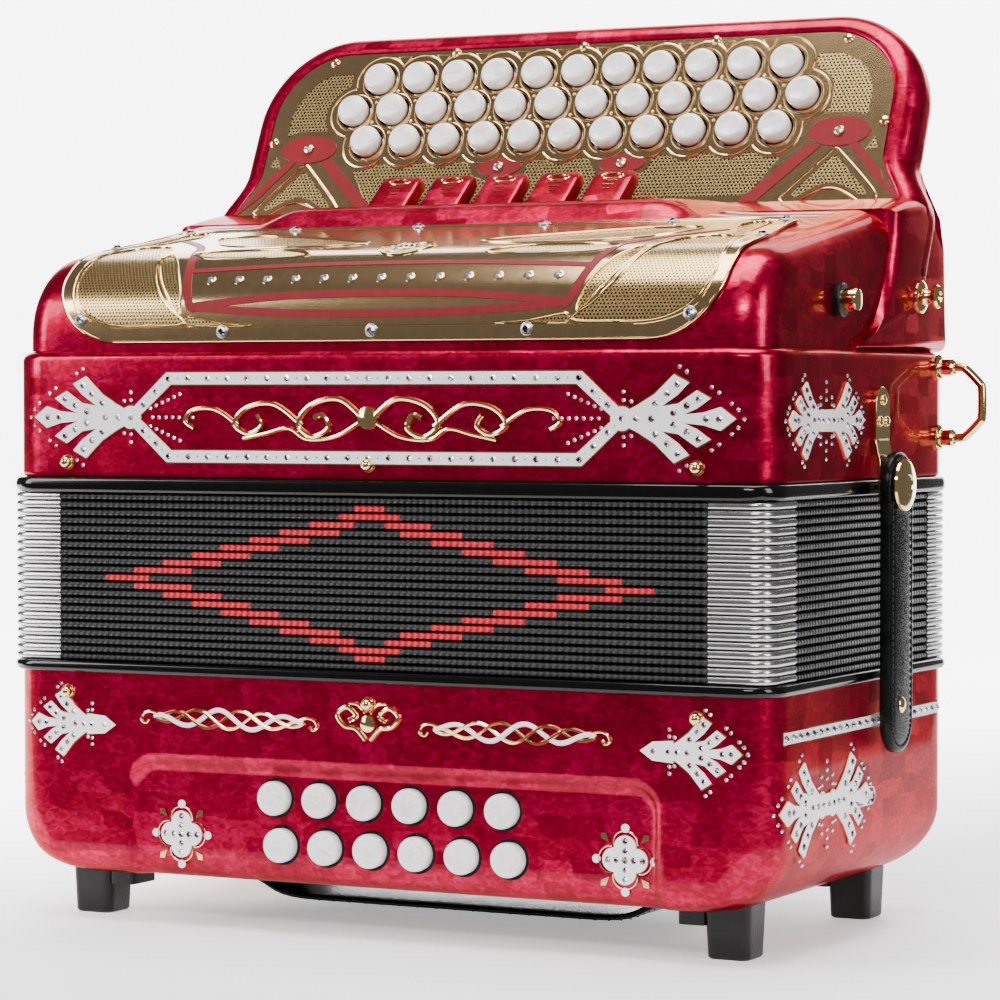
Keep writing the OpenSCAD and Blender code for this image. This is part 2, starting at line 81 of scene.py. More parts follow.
case_low, case_high = box_mm("treble_casing")
bass_box_low, bass_box_high = box_mm("bass_casing")
hood_box_low, hood_box_high = box_mm("treble_hood")
folds_low, folds_high = box_mm("bellows_folds")
# All shapes below use millimetres, with Y from the middle of the casing's depth.
MID_Y = (case_low[1] + case_high[1]) / 2
HALF_W = case_high[0]
HALF_D = case_high[1] - MID_Y
BASS_LOW = bass_box_low[2]
BASS_TOP = bass_box_high[2]
TREBLE_LOW = case_low[2]
LEDGE = case_high[2]
HOOD_HALF = hood_box_high[0]
HOOD_FRONT = hood_box_low[1] - MID_Y
BELLOWS_LOW = folds_low[2]
BELLOWS_HIGH = folds_high[2]
CASE_R = 16
LEAN = math.radians(24.6)
BOARD_Y = 75.6
BOARD_Z = LEDGE + 89.8
BOARD_TOP = 54
BOARD_HALF = 152.5
PLATE_INSET = 10.5
TREBLE_PITCH = 18.76
ROW_STEP = 15


# ---------------------------------------------------------------- placing functions

def on_front(x, z, out):
    return (x, -HALF_D - out, z)


def on_right(y, z, out):
    return (HALF_W + out, y, z)


def on_left(y, z, out):
    return (-HALF_W - out, y, z)


def beside(side, base):
    """Placing on an upright plane at x = base, on the right for side 1, on the left for side -1."""
    def place(y, z, out):
        return (side * (base + out), y, z)
    return place


def corner_drop(past):
    """How far an upright casing corner falls back, at a distance past the flat of the wall."""
    past = min(max(past, 0), CASE_R)
    return CASE_R - math.sqrt(CASE_R ** 2 - past ** 2)


def front_skin(x, z, out):
    return on_front(x, z, out - corner_drop(abs(x) - HALF_W + CASE_R))


def right_skin(y, z, out):
    return on_right(y, z, out - corner_drop(abs(y) - HALF_D + CASE_R))


def left_skin(y, z, out):
    return on_left(y, z, out - corner_drop(abs(y) - HALF_D + CASE_R))


def on_board(x, v, out):
    """Places across and up the leaning fingerboard."""
    return (x, BOARD_Y + v * math.sin(LEAN) - out * math.cos(LEAN),
            BOARD_Z + v * math.cos(LEAN) + out * math.sin(LEAN))


HOOD_R = 32
HOOD_UP = 6
HOOD_SLOPE = math.radians(10)
HOOD_ARC = (math.pi / 2 - HOOD_SLOPE) * HOOD_R


def hood_yz(s, out):
    """Places at a distance s up the hood from the ledge: a short wall, a roll, then the slope."""
    y = HOOD_FRONT + HOOD_R
    z = LEDGE + HOOD_UP
    if s < HOOD_UP:
        return (HOOD_FRONT - out, LEDGE + s)
    if s < HOOD_UP + HOOD_ARC:
        a = math.pi - (s - HOOD_UP) / HOOD_R
        return (y + (HOOD_R + out) * math.cos(a), z + (HOOD_R + out) * math.sin(a))
    t = s - HOOD_UP - HOOD_ARC
    return (y - (HOOD_R + out) * math.sin(HOOD_SLOPE) + t * math.cos(HOOD_SLOPE),
            z + (HOOD_R + out) * math.cos(HOOD_SLOPE) + t * math.sin(HOOD_SLOPE))


def on_hood(x, s, out):
    y, z = hood_yz(s, out)
    return (x, y, z)


# ---------------------------------------------------------------- mesh building

class Part:
    """Collects vertices and faces in millimetres, with a material number for each face."""

    def __init__(self):
        self.verts = []
        self.faces = []
        self.mats = []

    def add(self, verts, faces, mat=0):
        start = len(self.verts)
        self.verts += [tuple(v) for v in verts]
        self.faces += [tuple(start + i for i in f) for f in faces]
        self.mats += [mat] * len(faces)

    def loft(self, rings, mat=0, cap_start=True, cap_end=True, closed=True):
        n = len(rings[0])
        verts = [p for ring in rings for p in ring]
        faces = []
        assert all(len(ring) == n for ring in rings)
        for r in range(len(rings) - 1):
            for i in range(n if closed else n - 1):
                j = (i + 1) % n
                faces.append((r * n + i, r * n + j, (r + 1) * n + j, (r + 1) * n + i))
        if cap_start:
            faces.append(tuple(range(n)))
        if cap_end:
            last = (len(rings) - 1) * n
            faces.append(tuple(last + i for i in reversed(range(n))))
        self.add(verts, faces, mat)

    def lathe(self, profile, place, centre, mat=0, steps=24, squash=1.0):
        """profile: (radius, height) pairs; place maps (a, b, out) to the case frame."""
        rings = []
        for r, h in profile:
            rings.append([place(centre[0] + r * math.cos(t), centre[1] + squash * r * math.sin(t), h)
                          for t in turn(steps)])
        self.loft(rings, mat)

    def tube(self, path, radius, mat=0, steps=10, closed=False):
        rings = []
        points = [Vector(p) for p in path]
        side = None
        for i, p in enumerate(points):
            if closed:
                tangent = points[(i + 1) % len(points)] - points[i - 1]
            else:
                tangent = points[min(i + 1, len(points) - 1)] - points[max(i - 1, 0)]
            tangent.normalize()
            if side is None:
                side = tangent.orthogonal().normalized()
            side = (side - tangent * side.dot(tangent)).normalized()
            other = tangent.cross(side)
            rings.append([p + radius * (math.cos(t) * side + math.sin(t) * other)
                          for t in turn(steps)])
        if closed:
            rings.append(rings[0])
        self.loft(rings, mat, not closed, not closed)

    def flat(self, curves, inside, place, low, high, mat=0, grid=(), under=False):
        """A plate between out=low and out=high, bounded by the curves where inside() is true."""
        points = []
        edges = []
        for curve in curves:
            start = len(points)
            count = len(curve)
            points += [Vector(p) for p in curve]
            edges += [(start + i, start + (i + 1) % count) for i in range(count)]
        points += [Vector(p) for p in grid]
        out = geometry.delaunay_2d_cdt(points, edges, [], 0, 1e-4)
        flat = out[0]
        keep = []
        for f in out[2]:
            cx = sum(flat[i][0] for i in f) / 3
            cy = sum(flat[i][1] for i in f) / 3
            if inside(cx, cy):
                keep.append(tuple(f))
        used = sorted({i for f in keep for i in f})
        number = {v: k for k, v in enumerate(used)}
        n = len(used)
        verts = [place(flat[i][0], flat[i][1], high) for i in used]
        verts += [place(flat[i][0], flat[i][1], low) for i in used]
        faces = [tuple(number[i] for i in f) for f in keep]
        border = {}
        for f in faces:
            for a, b in ((f[0], f[1]), (f[1], f[2]), (f[2], f[0])):
                border[(a, b)] = border.get((a, b), 0) + 1
        walls = [(b, a, a + n, b + n) for a, b in border if (b, a) not in border]
        if under:
            walls += [tuple(i + n for i in reversed(f)) for f in faces]
        self.add(verts, faces + walls, mat)

    def patch(self, outline, place, low, high, mat=0):
        """A plate that fills one closed outline."""
        self.flat([outline], in_polygon(outline), place, low, high, mat)

    def pierced(self, inside, box, pitch, hole, place, out, depth, mat=0):
        """A sheet of six-sided cells, each with a hole, wherever inside() is true."""
        row_step = pitch * math.sqrt(3) / 2
        corner = pitch / math.sqrt(3)
        verts = []
        faces = []
        known = {}

        def vertex(a, b, h):
            key = (round(a, 3), round(b, 3), h)
            if key not in known:
                known[key] = len(verts)
                verts.append(place(a, b, h))
            return known[key]

        for row in range(int((box[3] - box[1]) / row_step) + 1):
            for col in range(int((box[2] - box[0]) / pitch) + 1):
                a = box[0] + (col + 0.5 * (row % 2)) * pitch
                b = box[1] + row * row_step
                if not inside(a, b):
                    continue
                angles = [math.radians(30 + 60 * k) for k in range(6)]
                rim = [vertex(a + corner * math.cos(t), b + corner * math.sin(t), out)
                       for t in angles]
                lip = [vertex(a + hole * math.cos(t), b + hole * math.sin(t), out) for t in angles]
                low = [vertex(a + hole * math.cos(t), b + hole * math.sin(t), out - depth)
                       for t in angles]
                for k in range(6):
                    m = (k + 1) % 6
                    faces.append((rim[k], rim[m], lip[m], lip[k]))
                    faces.append((lip[k], lip[m], low[m], low[k]))
        self.add(verts, faces, mat)

    def stone(self, place, a, b, radius, out, mat):
        """A cut stone: a six-facet crown on a round base."""
        outer = [place(a + radius * math.cos(t), b + radius * math.sin(t), out) for t in turn(8)]
        table = [place(a + 0.55 * radius * math.cos(t), b + 0.55 * radius * math.sin(t),
                       out + 0.55 * radius) for t in turn(8)]
        self.loft([outer, table], mat, False, True)

    def box(self, place, a0, b0, a1, b1, low, high, mat=0):
        corners = ((a0, b0), (a1, b0), (a1, b1), (a0, b1))
        self.loft([[place(a, b, h) for a, b in corners] for h in (low, high)], mat)

    def build(self, name, materials, body, replaces=(), smooth=35, bevel=0.0,
              outward=True):
        mesh = bpy.data.meshes.new(name)
        mesh.from_pydata([(x * MM, (y + MID_Y) * MM, z * MM) for x, y, z in self.verts],
                         [], self.faces)
        for m in materials:
            mesh.materials.append(m)
        mesh.polygons.foreach_set("material_index", self.mats)
        bm = bmesh.new()
        bm.from_mesh(mesh)
        if outward:
            bmesh.ops.recalc_face_normals(bm, faces=bm.faces)
        bm.to_mesh(mesh)
        bm.free()
        mesh.shade_smooth()
        mesh.set_sharp_from_angle(angle=math.radians(smooth))
        mesh.update()
        obj = bpy.data.objects.new(name, mesh)
        bpy.context.scene.collection.objects.link(obj)
        if bevel:
            modifier = obj.modifiers.new("edge", "BEVEL")
            modifier.width = bevel * MM
            modifier.segments = 2
            modifier.limit_method = "ANGLE"
            modifier.angle_limit = math.radians(40)
        if body:
            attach(obj, body)
        if replaces:
            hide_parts(*replaces)
        return obj


def turn(steps):
    return [2 * math.pi * k / steps for k in range(steps)]


def arc(cx, cy, r, start, end, steps):
    """Points along an arc between two angles in degrees, with both ends."""
    angles = [math.radians(start + (end - start) * k / steps) for k in range(steps + 1)]
    return [(cx + r * math.cos(t), cy + r * math.sin(t)) for t in angles]


def circle(cx, cy, r, steps=32, squash=1.0):
    return [(cx + r * math.cos(t), cy + squash * r * math.sin(t)) for t in turn(steps)]


def in_polygon(points):
    """A test for lying inside a closed outline."""
    def test(x, y):
        hit = False
        j = len(points) - 1
        for i in range(len(points)):
            xi, yi = points[i]
            xj, yj = points[j]
            if (yi > y) != (yj > y) and x < (xj - xi) * (y - yi) / (yj - yi) + xi:
                hit = not hit
            j = i
        return hit
    return test


def spline_run(p0, p1, p2, p3, steps):
    """Points of a smooth curve from p1 up to p2, led by the points on either side."""
    run = []
    for k in range(steps):
        t = k / steps
        run.append(tuple(0.5 * (2 * b + (c - a) * t + (2 * a - 5 * b + 4 * c - d) * t * t
                                + (3 * b - a - 3 * c + d) * t ** 3)
                         for a, b, c, d in zip(p0, p1, p2, p3)))
    return run


def smooth_curve(points, steps=6):
    """A closed curve through the points."""
    n = len(points)
    result = []
    for i in range(n):
        result += spline_run(*(points[(i + k - 1) % n] for k in range(4)), steps)
    return result


def open_curve(points, steps=6):
    """An open curve through the points, in two or three dimensions."""
    padded = [points[0]] + list(points) + [points[-1]]
    result = []
    for i in range(len(points) - 1):
        result += spline_run(*padded[i:i + 4], steps)
    return result + [tuple(points[-1])]


def stripe(points, width):
    """The outline of a line of the given width."""
    left = []
    right = []
    for i, p in enumerate(points):
        q = points[min(i + 1, len(points) - 1)]
        o = points[max(i - 1, 0)]
        dx, dy = q[0] - o[0], q[1] - o[1]
        size = math.hypot(dx, dy)
        nx, ny = -dy / size * width / 2, dx / size * width / 2
        left.append((p[0] + nx, p[1] + ny))
        right.append((p[0] - nx, p[1] - ny))
    return left + right[::-1]


def round_inset(height, radius):
    """How far a rounded edge draws in at a distance from the flat that it meets."""
    if height >= radius:
        return 0.0
    return radius - math.sqrt(max(radius ** 2 - (radius - height) ** 2, 0))


def smoothstep(low, high, x):
    t = min(max((x - low) / (high - low), 0), 1)
    return t * t * (3 - 2 * t)


def rounded_loop(x0, x1, y0, y1, r, counts=(6, 6, 6)):
    """Points round a rounded rectangle, from the left end of the front side; counts are the
    numbers of points along the front, along each side and along the back."""
    front, side, back = counts
    points = []
    for ax, ay, bx, by, count, cx, cy, start in (
            (x0 + r, y0, x1 - r, y0, front, x1 - r, y0 + r, 270),
            (x1, y0 + r, x1, y1 - r, side, x1 - r, y1 - r, 0),
            (x1 - r, y1, x0 + r, y1, back, x0 + r, y1 - r, 90),
            (x0, y1 - r, x0, y0 + r, side, x0 + r, y0 + r, 180)):
        points += [(ax + (bx - ax) * k / count, ay + (by - ay) * k / count) for k in range(count)]
        points += arc(cx, cy, r, start, start + 90, 8)[:-1]
    return points


# ---------------------------------------------------------------- materials

class Finish:
    """A procedural material: its shader and the nodes that feed it."""

    def __init__(self, name):
        self.material = bpy.data.materials.new(name)
        self.material.use_nodes = True
        self.tree = self.material.node_tree

    def put(self, node, values):
        """Sets the inputs of a node: a socket is linked, anything else is a constant."""
        for key, value in values.items():
            if isinstance(value, bpy.types.NodeSocket):
                self.tree.links.new(value, node.inputs[key])
            else:
                node.inputs[key].default_value = value

    def node(self, kind, values, **settings):
        node = self.tree.nodes.new("ShaderNode" + kind)
        for key, value in settings.items():
            setattr(node, key, value)
        self.put(node, values)
        return node.outputs

    def coords(self, scale=(1, 1, 1)):
        place = self.node("TexCoord", {})["Object"]
        return self.node("Mapping", {"Vector": place, "Scale": scale})["Vector"]

    def noise(self, vector, scale, detail, distortion=0.0):
        return self.node("TexNoise", {"Vector": vector, "Scale": scale, "Detail": detail,
                                      "Distortion": distortion})

    def ramp(self, source, stops):
        node = self.tree.nodes.new("ShaderNodeValToRGB")
        marks = node.color_ramp.elements
        for mark, (position, colour) in ((marks[0], stops[0]), (marks[1], stops[-1])):
            mark.position = position
            mark.color = (*colour, 1)
        for position, colour in stops[1:-1]:
            marks.new(position).color = (*colour, 1)
        self.put(node, {"Fac": source})
        return node.outputs["Color"]

    def spread(self, source, low, high):
        return self.node("MapRange", {"Value": source, "To Min": low, "To Max": high})["Result"]

    def relief(self, source, strength, distance):
        return self.node("Bump", {"Height": source, "Strength": strength, "Distance": distance})["Normal"]

    def shader(self, values):
        self.put(self.tree.nodes["Principled BSDF"], values)
        return self.material


def shade(colour, factor, plus=0.0):
    return tuple(min(c * factor + plus, 1) for c in colour)


def pearloid(name, dark, middle, light):
    """Celluloid of overlapping pearl patches: each patch has its own shade and its own tilt."""
    f = Finish(name)
    vector = f.coords((80, 80, 130))
    wobble = f.noise(vector, 0.6, 2)["Color"]
    bent = f.node("VectorMath", {0: wobble, 1: (0.22, 0.22, 0.22), 2: vector},
                  operation="MULTIPLY_ADD")["Vector"]
    patches = f.node("TexVoronoi", {"Vector": bent, "Scale": 1.0, "Randomness": 0.42},
                     distance="CHEBYCHEV")["Color"]
    patch = f.node("SeparateColor", {"Color": patches})[0]
    grain = f.noise(vector, 3.2, 5, 1.2)["Fac"]
    share = f.node("Math", {0: grain, 1: 0.78}, operation="MULTIPLY")[0]
    mix = f.node("Math", {0: patch, 1: 0.22, 2: share}, operation="MULTIPLY_ADD")[0]
    lean = f.node("VectorMath", {0: patches, 1: (0.5, 0.5, 0.5)}, operation="SUBTRACT")["Vector"]
    normal = f.node("NewGeometry", {})["Normal"]
    turned = f.node("VectorMath", {0: lean, 1: (0.06, 0.06, 0.06), 2: normal},
                    operation="MULTIPLY_ADD")["Vector"]
    unit = f.node("VectorMath", {0: turned}, operation="NORMALIZE")["Vector"]
    return f.shader({"Base Color": f.ramp(mix, [(0.22, dark), (0.5, middle), (0.8, light)]),
                     "Normal": unit, "Roughness": 0.30, "Metallic": 0.85,
                     "Specular Tint": (0.7, 0.04, 0.14, 1), "Coat Weight": 0.22,
                     "Coat Roughness": 0.05})


def metal(name, colour, roughness, wear=0.06, scale=900):
    f = Finish(name)
    noise = f.noise(f.coords(), scale, 4)["Fac"]
    return f.shader({"Base Color": f.ramp(noise, [(0.3, shade(colour, 0.93)), (0.7, colour)]),
                     "Roughness": f.spread(noise, max(roughness - wear, 0.02), roughness + wear),
                     "Metallic": 1.0})


def gloss(name, colour, roughness, coat, bump=0.0, scale=300, vary=0.12):
    """Lacquer, enamel or rubber, with a slightly uneven colour and, where asked, a fine grain."""
    f = Finish(name)
    noise = f.noise(f.coords(), scale, 6)["Fac"]
    tint = f.ramp(noise, [(0.3, shade(colour, 1 - vary)), (0.7, shade(colour, 1 + vary))])
    values = {"Base Color": tint, "Roughness": roughness, "Specular IOR Level": 0.25,
              "Coat Weight": coat, "Coat Roughness": 0.05}
    if bump:
        values["Normal"] = f.relief(noise, bump, 0.0004)
    return f.shader(values)


def pearl_white(name):
    """White pearl of the button caps: soft swirling bands under a clear polish."""
    f = Finish(name)
    noise = f.noise(f.coords((60, 60, 110)), 1.6, 3, 2.2)["Fac"]
    bands = f.ramp(noise, [(0.3, (0.80, 0.75, 0.72)), (0.47, (0.93, 0.90, 0.88)),
                           (0.56, (0.98, 0.97, 0.97)), (0.75, (0.88, 0.86, 0.88))])
    return f.shader({"Base Color": bands, "Roughness": 0.22, "Coat Weight": 1.0,
                     "Coat Roughness": 0.04, "Subsurface Weight": 0.08,
                     "Subsurface Radius": (0.003, 0.003, 0.003)})


def cord(name, colour, light):
    """Twisted cord laid along a bellows fold: slanted strands along the fold's length, painted from the
    dark colour in the grooves to the light colour on the crests, a painted shade and highlight that follow
    the strands' relief.
    """
    f = Finish(name)
    wave = f.node("TexWave", {"Vector": f.coords((230, 230, 0)), "Scale": 1.0, "Distortion": 0.6,
                              "Detail": 2}, wave_type="BANDS", bands_direction="DIAGONAL")["Fac"]
    # The colour follows the same wave as the relief: painted shade in the grooves, painted highlight on
    # the crests.
    return f.shader({"Base Color": f.ramp(wave, [(0.1, colour), (0.9, light)]),
                     "Normal": f.relief(wave, 0.9, 0.0005), "Roughness": 0.34,
                     "Specular IOR Level": 0.3})


def leather(name, colour):
    f = Finish(name)
    vector = f.coords()
    grain = f.node("TexVoronoi", {"Vector": vector, "Scale": 900},
                   feature="DISTANCE_TO_EDGE")["Distance"]
    noise = f.noise(vector, 120, 5)["Fac"]
    tint = f.ramp(noise, [(0.3, colour), (0.8, shade(colour, 2.2, 0.004))])
    return f.shader({"Base Color": tint, "Normal": f.relief(grain, 0.5, 0.0002),
                     "Roughness": f.spread(noise, 0.17, 0.29), "Specular IOR Level": 0.12})


def cloth(name, colour):
    f = Finish(name)
    weave = f.node("TexVoronoi", {"Vector": f.coords(), "Scale": 1500})["Distance"]
    return f.shader({"Base Color": f.ramp(weave, [(0.0, colour), (0.8, shade(colour, 0.45))]),
                     "Roughness": 0.8, "Sheen Weight": 0.4})


def crystal_with_painted_glints(name, colour):
    """Cut stone with painted glints: each facet is painted a shade from dark through the stone's colour to
    white, a painted sparkle of reflected light.
    """
    f = Finish(name)
    cells = f.node("TexVoronoi", {"Vector": f.coords(), "Scale": 1100})["Color"]
    facet = f.node("SeparateColor", {"Color": cells})[0]
    # Dark cells are painted shade on the facets, and white cells are painted glints.
    tint = f.ramp(facet, [(0.1, shade(colour, 0.45)), (0.5, colour), (0.9, (1, 1, 1))])
    return f.shader({"Base Color": tint, "Metallic": 0.75, "Roughness": 0.08, "Coat Weight": 1.0})


RED = pearloid("red pearloid", (0.16, 0.0, 0.010), (0.30, 0.0, 0.024), (0.62, 0.001, 0.075))
RED_PLAIN = gloss("red enamel", (0.17, 0.0, 0.004), 0.5, 0.03)
GOLD = metal("gold plate", (0.80, 0.53, 0.27), 0.13, 0.02, 300)
GOLD_BRIGHT = metal("bright gold", (0.93, 0.68, 0.30), 0.10, 0.04)
GOLD_MESH = metal("gold mesh", (0.76, 0.53, 0.22), 0.24)
NICKEL = metal("nickel", (0.55, 0.54, 0.53), 0.24)
STEEL = metal("steel", (0.5, 0.5, 0.5), 0.3)
PEARL = pearl_white("white pearl")
WHITE = gloss("white inlay", (0.96, 0.94, 0.95), 0.25, 0.5, 0.0, 200, 0.03)
STONE = crystal_with_painted_glints("clear stone", (0.82, 0.74, 0.82))
PINK = crystal_with_painted_glints("rose stone", (0.13, 0.055, 0.08))
SMOKE = crystal_with_painted_glints("smoked stone", (0.03, 0.02, 0.025))
BLACK = gloss("black lacquer", (0.002, 0.002, 0.002), 0.14, 0.25)
RUBBER = gloss("black rubber", (0.004, 0.004, 0.004), 0.4, 0.05, 0.4, 900)
# Black that stands in for shade: painted shade in the holes round the bass buttons and under the
# fingerboard plate.
SHADE_BLACK = gloss("shadow cloth", (0.006, 0.006, 0.006), 0.9, 0.0)
CORD = cord("black cord", (0.001, 0.001, 0.0012), (0.022, 0.022, 0.024))
CORD_RED = cord("red cord", (0.30, 0.0, 0.006), (0.75, 0.006, 0.03))
FOLD = gloss("bellows card", (0.002, 0.002, 0.002), 0.6, 0.0, 0.3, 700)
LEATHER = leather("black leather", (0.002, 0.002, 0.002))
THREAD = gloss("black thread", (0.006, 0.012, 0.012), 0.5, 0.0, 0.4, 2000)
CLOTH = cloth("red cloth", (0.13, 0.0, 0.006))
WOOD = gloss("spruce", (0.55, 0.38, 0.2), 0.5, 0.1, 0.3, 120)


# ---------------------------------------------------------------- casings

RECESS = {"left": -107, "right": 120, "top": 66, "depth": 3.5, "corner": 12, "roll": 5}


def recess_depth(x, z):
    """Depth of the sunk field round the bass buttons, with soft edges."""
    cx = (RECESS["left"] + RECESS["right"]) / 2
    half = (RECESS["right"] - RECESS["left"]) / 2
    corner = RECESS["corner"]
    dx = abs(x - cx) - (half - corner)
    dz = z - (RECESS["top"] - corner)
    if dx > 0 and dz > 0:
        edge = corner - math.hypot(dx, dz)
    else:
        edge = corner - max(dx, dz)
    return RECESS["depth"] * smoothstep(0, RECESS["roll"], edge)


def bass_casing():
    """A box with deeply rounded lower edges and a sunk field round the bass buttons."""
    side_r = 25
    front_r = 10
    rings = []
    heights = [side_r * (1 - math.cos(math.radians(a))) for a in range(0, 90, 6)]
    z = side_r
    while z < BASS_TOP - BASS_LOW:
        heights.append(z)
        z += 1.6
    heights.append(BASS_TOP - BASS_LOW)
    for h in heights:
        side = round_inset(h, side_r)
        front = round_inset(h, front_r)
        loop = rounded_loop(-HALF_W + side, HALF_W - side, -HALF_D + front, HALF_D - side,
                            CASE_R, (180, 30, 60))
        ring = []
        for x, y in loop:
            if y < -HALF_D + front + 0.01:
                y += recess_depth(x, BASS_LOW + h)
            ring.append((x, y, BASS_LOW + h))
        rings.append(ring)
    part = Part()
    part.loft(rings)
    part.build("bass_casing_shell", [RED], "bass_side", ["bass_casing"])


def treble_casing():
    """A box with rounded upright corners and a small roll along its top edge."""
    part = Part()
    height = LEDGE - TREBLE_LOW
    rings = []
    levels = [0, 0.4, 1.0, 2.0, 12, 24, 36]
    levels += [height - 4 + 4 * math.sin(math.radians(a)) for a in range(0, 91, 10)]
    for h in levels:
        inset = round_inset(height - h, 4) + round_inset(h, 1)
        rings.append([(x, y, TREBLE_LOW + h) for x, y in
                      rounded_loop(-HALF_W + inset, HALF_W - inset, -HALF_D + inset,
                                   HALF_D - inset, CASE_R)])
    part.loft(rings)
    part.build("treble_casing_shell", [RED], "treble_side", ["treble_casing"])


GROOVE = [(33, 54), (33, 46), (31.5, 38), (28, 28), (22, 18), (14, 9), (5, 3), (-6, 0)]


def hood():
    """The hood over the treble mechanism: a rolled front, rounded ends and a sloping top."""
    part = Part()
    end_r = 13
    top_end = HOOD_UP + HOOD_ARC + 95
    steps = [top_end * k / 44 for k in range(45)]
    columns = []
    offsets = [end_r * (1 - math.cos(math.radians(a))) for a in range(0, 91, 9)]
    xs = [-HOOD_HALF + o for o in offsets]
    xs += [-HOOD_HALF + end_r + k * (2 * HOOD_HALF - 2 * end_r) / 40 for k in range(1, 40)]
    xs += [HOOD_HALF - o for o in reversed(offsets)]
    for x in xs:
        draw = round_inset(HOOD_HALF - abs(x), end_r)
        column = [(x,) + hood_yz(s, -draw) for s in steps]
        back = [(x, y, min(LEDGE + z, column[-1][2] - 0.1)) for y, z in GROOVE]
        columns.append(column + back)
    part.loft(columns)
    back_part = 29.2
    inner = HOOD_HALF - 8
    rows = []
    for k in range(9):
        s = top_end + back_part * k / 8
        rows.append([(-inner + 2 * inner * i / 20,) + hood_yz(s, 0) for i in range(21)])
    part.loft(rows, 0, False, False, False)
    part.build("treble_hood_shell", [RED], "treble_side", ["treble_hood"], 50)


FLARE_TOP = -12
FLARE_LOW = -38
FLARE_W = 9.8


def flare(v):
    """How far the fingerboard widens towards its foot, at a height v."""
    if v >= FLARE_TOP:
        return 0.0
    if v <= FLARE_LOW:
        return FLARE_W
    return FLARE_W * (1 - math.cos(math.pi * (FLARE_TOP - v) / (FLARE_TOP - FLARE_LOW))) / 2


def board_half(v, inset=0.0):
    return BOARD_HALF + flare(v) - inset


def board_outline(inset, low):
    """The fingerboard's outline from a height low up, drawn in by the inset."""
    corner = 42
    waist = -8
    heights = [low + (waist - low) * k / 16 for k in range(17)]
    right = [(board_half(v, inset), v) for v in heights]
    right += arc(BOARD_HALF - corner, BOARD_TOP - corner, corner - inset, 0, 90, 16)
    span, crown = right[-1]
    top = [(span - 2 * span * k / 24, crown) for k in range(1, 24)]
    return right + top + [(-x, v) for x, v in reversed(right)]


def fingerboard_shell():
    """The leaning board with its rolled edge, and the foot that joins it to the casing."""
    part = Part()
    low = -62
    edge = 9
    rings = []
    profile = [(PLATE_INSET + 4, -1.2), (PLATE_INSET, -1.2), (PLATE_INSET - 0.3, 0.0),
               (edge + 0.2, 0.4)]
    profile += [(edge - a, 0.4 - edge + b) for b, a in arc(0, 0, edge, 0, 90, 9)[1:]]
    profile += [(0, -12), (0, -14.5), (0.8, -17), (2.6, -19), (5, -20)]
    for inset, out in profile:
        rings.append([on_board(x, v, out) for x, v in board_outline(inset, low)])
    part.loft(rings, 0, False, True)
    # The foot of the fingerboard: side cheeks and the back wall down to the ledge.
    half = BOARD_HALF + FLARE_W
    end_r = 7
    side = [(33, LEDGE + 54.5)] + [(y, LEDGE + z) for y, z in GROOVE]
    base = side + [(-6, LEDGE - 0.5), (90, LEDGE - 0.5), (90, LEDGE + 20), (90, LEDGE + 40),
                   (90, LEDGE + 56), (90, LEDGE + 66), (89.4, LEDGE + 73.3), (80, LEDGE + 68),
                   (66, LEDGE + 60), (58, LEDGE + 59.5), (45, LEDGE + 57)]
    middle = (60, LEDGE + 35)
    columns = []
    offsets = [end_r * (1 - math.cos(math.radians(a))) for a in range(0, 91, 10)]
    xs = [-half + o for o in offsets] + [-half + 12, -60, 0, 60, half - 12]
    xs += [half - o for o in reversed(offsets)]
    for x in xs:
        draw = round_inset(half - abs(x), end_r)
        column = []
        for y, z in base:
            dy, dz = middle[0] - y, middle[1] - z
            size = math.hypot(dy, dz)
            py, pz = y + dy / size * draw, z + dz / size * draw
            v = (py - BOARD_Y) * math.sin(LEAN) + (pz - BOARD_Z) * math.cos(LEAN)
            limit = board_half(v) / half
            column.append((x * min(limit, 1), py, pz))
        columns.append(column)
    part.loft(columns)
    part.build("fingerboard_body", [RED], "treble_side", ["fingerboard_shell"], 50)


def bellows_frames():
    """Black lacquered beads where the casings meet the bellows."""
    for name, node, body, low, high in (
            ("bass_bead", "bass_bellows_frame", "bass_side", BASS_TOP, BELLOWS_LOW),
            ("treble_bead", "treble_bellows_frame", "treble_side", BELLOWS_HIGH, TREBLE_LOW)):
        part = Part()
        mid = (low + high) / 2
        half = (high - low) / 2
        rings = []
        for a in range(-90, 91, 15):
            t = math.radians(a)
            out = 2 * math.cos(t) ** 0.6 if abs(a) < 90 else 0
            rings.append([(x, y, mid + half * math.sin(t)) for x, y in
                          rounded_loop(-HALF_W - out + 0.4, HALF_W + out - 0.4,
                                       -HALF_D - out + 0.4, HALF_D + out - 0.4, 14)])
        part.loft(rings)
        part.build(name, [BLACK], body, [node])


# ---------------------------------------------------------------- bellows

FOLDS = 21
FOLD_STEP = (BELLOWS_HIGH - BELLOWS_LOW) / FOLDS
RIDGE = FOLD_STEP * 0.38
FOLD_DEPTH = 9
FRONT_REACH = 144
REACH = 24
LOOP_STEP = 6.5


def smooth_inverse(w):
    """Where a smooth rise from 0 to 1 has reached w."""
    return 0.5 - math.sin(math.asin(1 - 2 * w) / 3)


def stretch(obj, z0, z1, w0, w1):
    """Bakes the piece's transform into its mesh and does not blend it along the travel; z0 and z1 are not
    used, and w0 and w1 give only t0 and t1, which nothing uses.
    """
    t0 = smooth_inverse(w0)
    t1 = smooth_inverse(w1)
    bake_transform(obj)


def red_cord(strip, x):
    """The stepped red diamond worked into the front of the bellows."""
    d = abs(strip - FOLDS // 2)
    if d == 0:
        return 94.5 <= abs(x) <= 120
    outer = 6.5 if d == 9 else 13 * (9 - d)
    inner = 6.5 if d == 7 else max(13 * (7 - d), 0)
    return inner <= abs(x) <= outer


